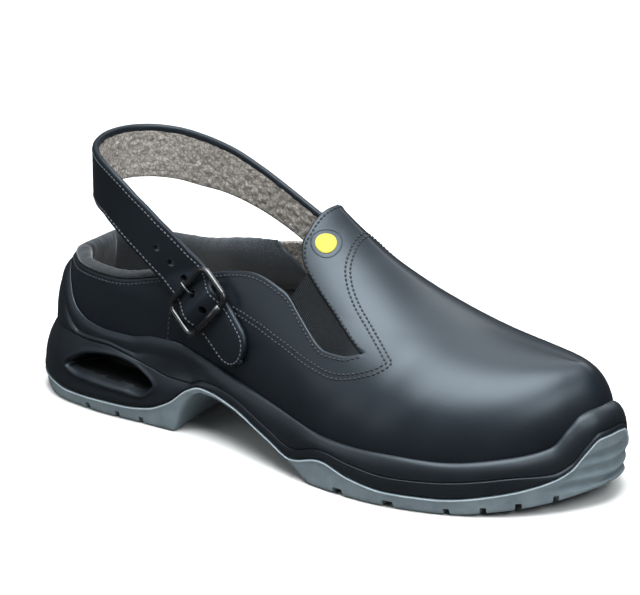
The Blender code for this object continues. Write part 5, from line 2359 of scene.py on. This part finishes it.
@dataclass
class Buckle:
    """The lacquered frame with its middle bar, and the prong that lies on the frame's upper bar."""

    looks: Looks
    size: tuple = (19.0, 27.0)
    corner: float = 4.0
    bar: float = 1.5
    sleeve: tuple = (1.85, 8.6)
    lift: float = 5.7
    middle_lift: float = 2.3
    middle_end: float = 0.6
    bar_sides: int = 18
    corner_points: int = 9
    prong_points: int = 48
    prong_radius: float = 0.7
    prong: tuple = (
        (-2.6, 0.0, 2.1), (-4.2, 0.0, 2.2), (-4.5, 0.0, 3.6), (-4.6, 0.0, 5.4),
        (-5.4, 0.0, 6.8), (-7.2, 0.0, 7.6), (-11.2, 0.0, 7.8),
    )

    def build(self) -> None:
        """Makes the frame, the bar and the prong."""
        long, wide = self.size[0] / 2, self.size[1] / 2
        loop = []
        for k, (sign_a, sign_b) in enumerate(((1, 1), (-1, 1), (-1, -1), (1, -1))):
            for turn in np.linspace(0, math.pi / 2, self.corner_points) + k * math.pi / 2:
                a = sign_a * (long - self.corner) + self.corner * math.cos(turn)
                b = sign_b * (wide - self.corner) + self.corner * math.sin(turn)
                loop.append((a, b, self.lift))
        self._bar("buckle_loop", loop, self.bar, "buckle_frame", closed=True)
        end = wide - self.middle_end
        low, high = self.middle_lift, self.lift
        middle = [(0.0, -wide, high), (0.0, -end, low), (0.0, end, low), (0.0, wide, high)]
        self._bar("buckle_bar", middle, self.bar)
        radius, reach = self.sleeve
        self._bar("buckle_sleeve", [(long, b, high) for b in (-reach, 0.0, reach)], radius)
        prong = smooth_line(on_buckle(self.prong), self.prong_points)
        pin = Maker.sweep("buckle_pin", prong, self.prong_radius, self.looks.metal)
        settle(pin, Slot.METAL, "buckle_prong")

    def _bar(self, name: str, path: Sequence[Sequence[float]], radius: float, *nodes: str,
             closed: bool = False) -> None:
        """Makes one round bar.

        Args:
            name: The piece's name.
            path: Its middle line, from the buckle's place.
            radius: Its radius.
            *nodes: The node that it stands for.
            closed: Whether it returns to its start.
        """
        made = Maker.sweep(name, on_buckle(path), radius, self.looks.metal, self.bar_sides, closed)
        settle(made, Slot.METAL, *nodes)


@dataclass
class Badge:
    """A plain domed disc on the tab, inside a fine raised ring in the leather."""

    looks: Looks
    place: tuple = (158.0, 95.0)
    radius: float = 4.75
    profile: tuple = ((0.0, 0.6), (0.55, 0.58), (0.84, 0.52), (0.95, 0.42), (1.0, 0.25), (1.0, 0.05))
    base: float = -0.3
    ring_radius: float = 6.7
    ring_bar: float = 0.4
    ring_lift: float = -0.2
    ring_sides: int = 12
    around: int = 48
    least_share: float = 0.02

    def _circle(self, radius: float, lift: float) -> Points:
        """Points round the badge's middle.

        Args:
            radius: The circle's radius.
            lift: Its height over the leather.

        Returns:
            The points.
        """
        spot = LAST.spot(Side.LATERAL, *self.place)
        middle, out = LAST.face(*spot)[0], LAST.normal(*spot)[0]
        first = unit(np.cross(out, [0.0, 0.0, 1.0]))
        second = np.cross(out, first)
        turn = np.arange(self.around) * 2 * math.pi / self.around
        flat = middle + radius * (np.cos(turn)[:, None] * first + np.sin(turn)[:, None] * second)
        along, over = LAST.spot(Side.LATERAL, flat[:, 0], flat[:, 2])
        return LAST.face(along, over) + LAST.normal(along, over) * lift

    def build(self) -> None:
        """Makes the disc and the ring."""
        least = self.least_share
        dome = [self._circle(self.radius * max(share, least), lift) for share, lift in self.profile]
        rows = smooth_rows(np.array(dome), [3] * (len(dome) - 1))
        rows = np.concatenate([rows, [self._circle(self.radius, self.base)]])
        settle(Maker.loft("yellow_disc", rows, [self.looks.enamel], sole_ends=False), Slot.ENAMEL, "badge")
        path = self._circle(self.ring_radius, self.ring_lift)
        rim = Maker.sweep("badge_ring", path, self.ring_bar, self.looks.leather, self.ring_sides, True)
        settle(rim, Slot.LEATHER)


@dataclass(frozen=True)
class Lamp:
    """A soft rectangular lamp: place, size and aim in metres, power in watts."""

    name: str
    place: tuple
    size: tuple
    power: float
    aim: tuple = (0.0, 0.0, 0.05)


@dataclass
class Studio:
    """A pale floor, soft lights and the camera."""

    azimuth: float = 36.0
    elevation: float = 20.5
    distance: float = 1.5
    focal_pixels: float = 3361.0
    image: tuple = (640, 595)
    target: tuple = (148.0, 0.0, 40.0)
    target_pixel: tuple = (320.0, 350.5)
    floor_size: float = 6.0
    floor_colour: tuple = (0.62, 0.597, 0.58, 1.0)
    floor_roughness: float = 0.9
    floor_gloss: float = 0.1
    sky_colour: tuple = (0.95, 0.97, 1.0, 1.0)
    sky_strength: float = 0.08
    sensor: float = 36.0
    lamp_colour: tuple = (0.90, 0.96, 1.0)
    lamps: tuple = (
        Lamp("ceiling", (0.0, 0.0, 1.9), (3.2, 2.6), 30.0),
        Lamp("backdrop", (-0.55, 0.95, 1.35), (1.3, 0.9), 13.0, (-0.70, 1.05, 0.0)),
        Lamp("top_softbox", (0.10, -0.22, 1.15), (0.80, 0.80), 34.0),
        Lamp("side_softbox", (-0.80, -1.20, 0.70), (1.1, 0.8), 4.5),
        Lamp("toe_softbox", (0.85, -0.32, 0.75), (0.60, 0.40), 7.0),
        Lamp("back_softbox", (0.05, 1.35, 1.05), (0.9, 0.45), 6.0),
    )

    def build(self) -> None:
        """Sets the stage."""
        scene = bpy.context.scene
        scene.view_settings.view_transform = "Standard"
        scene.view_settings.look = "None"
        self._floor()
        self._world()
        self._camera()
        for lamp in self.lamps:
            self._light(lamp)

    def _floor(self) -> None:
        """A plain matt floor, which gloss on the shoe doesn't mirror."""
        half = self.floor_size / 2
        corners = [(-half, -half, 0), (half, -half, 0), (half, half, 0), (-half, half, 0)]
        mesh = bpy.data.meshes.new("floor")
        mesh.from_pydata(corners, [], [(0, 1, 2, 3)])
        look = Look("pale_floor")
        mesh.materials.append(look.set(
            Base_Color=self.floor_colour, Roughness=self.floor_roughness, Specular_IOR_Level=self.floor_gloss
        ))
        floor = place_object("floor", mesh)
        floor.visible_glossy = False

    def _world(self) -> None:
        """A pale surround."""
        world = bpy.data.worlds.new("studio")
        world.use_nodes = True
        sky = world.node_tree.nodes["Background"]
        sky.inputs["Color"].default_value = self.sky_colour
        sky.inputs["Strength"].default_value = self.sky_strength
        bpy.context.scene.world = world

    def _light(self, lamp: Lamp) -> None:
        """Hangs one lamp.

        Args:
            lamp: The lamp.
        """
        made = bpy.data.lights.new(lamp.name, "AREA")
        made.shape, made.energy, made.color = "RECTANGLE", lamp.power, self.lamp_colour
        made.size, made.size_y = lamp.size
        body = place_object(lamp.name, made)
        body.location = lamp.place
        body.rotation_euler = (Vector(lamp.aim) - Vector(lamp.place)).to_track_quat("-Z", "Y").to_euler()

    def _camera(self) -> None:
        """The camera at the photograph's angle, shifted only as far as the framing needs."""
        turn, tilt = math.radians(self.azimuth), math.radians(self.elevation)
        back = Vector((math.sin(turn) * math.cos(tilt), -math.cos(turn) * math.cos(tilt), math.sin(tilt)))
        lens = bpy.data.cameras.new("photo_camera")
        lens.sensor_width = self.sensor
        lens.lens = self.focal_pixels * lens.sensor_width / self.image[0]
        lens.shift_x = -(self.target_pixel[0] - self.image[0] / 2) / self.image[0]
        lens.shift_y = (self.target_pixel[1] - self.image[1] / 2) / self.image[0]
        camera = place_object("photo_camera", lens)
        aim = Vector(((np.array(self.target) - LAST.middle) * MM).tolist())
        camera.location = aim + back * self.distance
        camera.rotation_euler = (-back).to_track_quat("-Z", "Y").to_euler()
        bpy.context.scene.camera = camera


def dress_nodes(looks: Looks) -> None:
    """Gives the solids that are carried over their finish.

    Args:
        looks: The finishes.
    """
    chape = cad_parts["buckle_chape"]
    chape.data.materials.clear()
    chape.data.materials.append(looks.strap)
    LOG.info("buckle_chape: carried over")


def main() -> None:
    """Builds every piece of the shoe, then the studio."""
    logging.basicConfig(level=logging.INFO, format="%(message)s")
    looks = Looks()
    pieces = [
        Outsole(looks), Midsole(looks), Insole(looks), Upper(looks), Gore(looks, Side.LATERAL),
        Gore(looks, Side.MEDIAL), Collar(looks), Strap(looks), Buckle(looks), Badge(looks),
    ]
    for piece in pieces:
        piece.build()
    dress_nodes(looks)
    Studio().build()


if __name__ == "__main__":
    main()
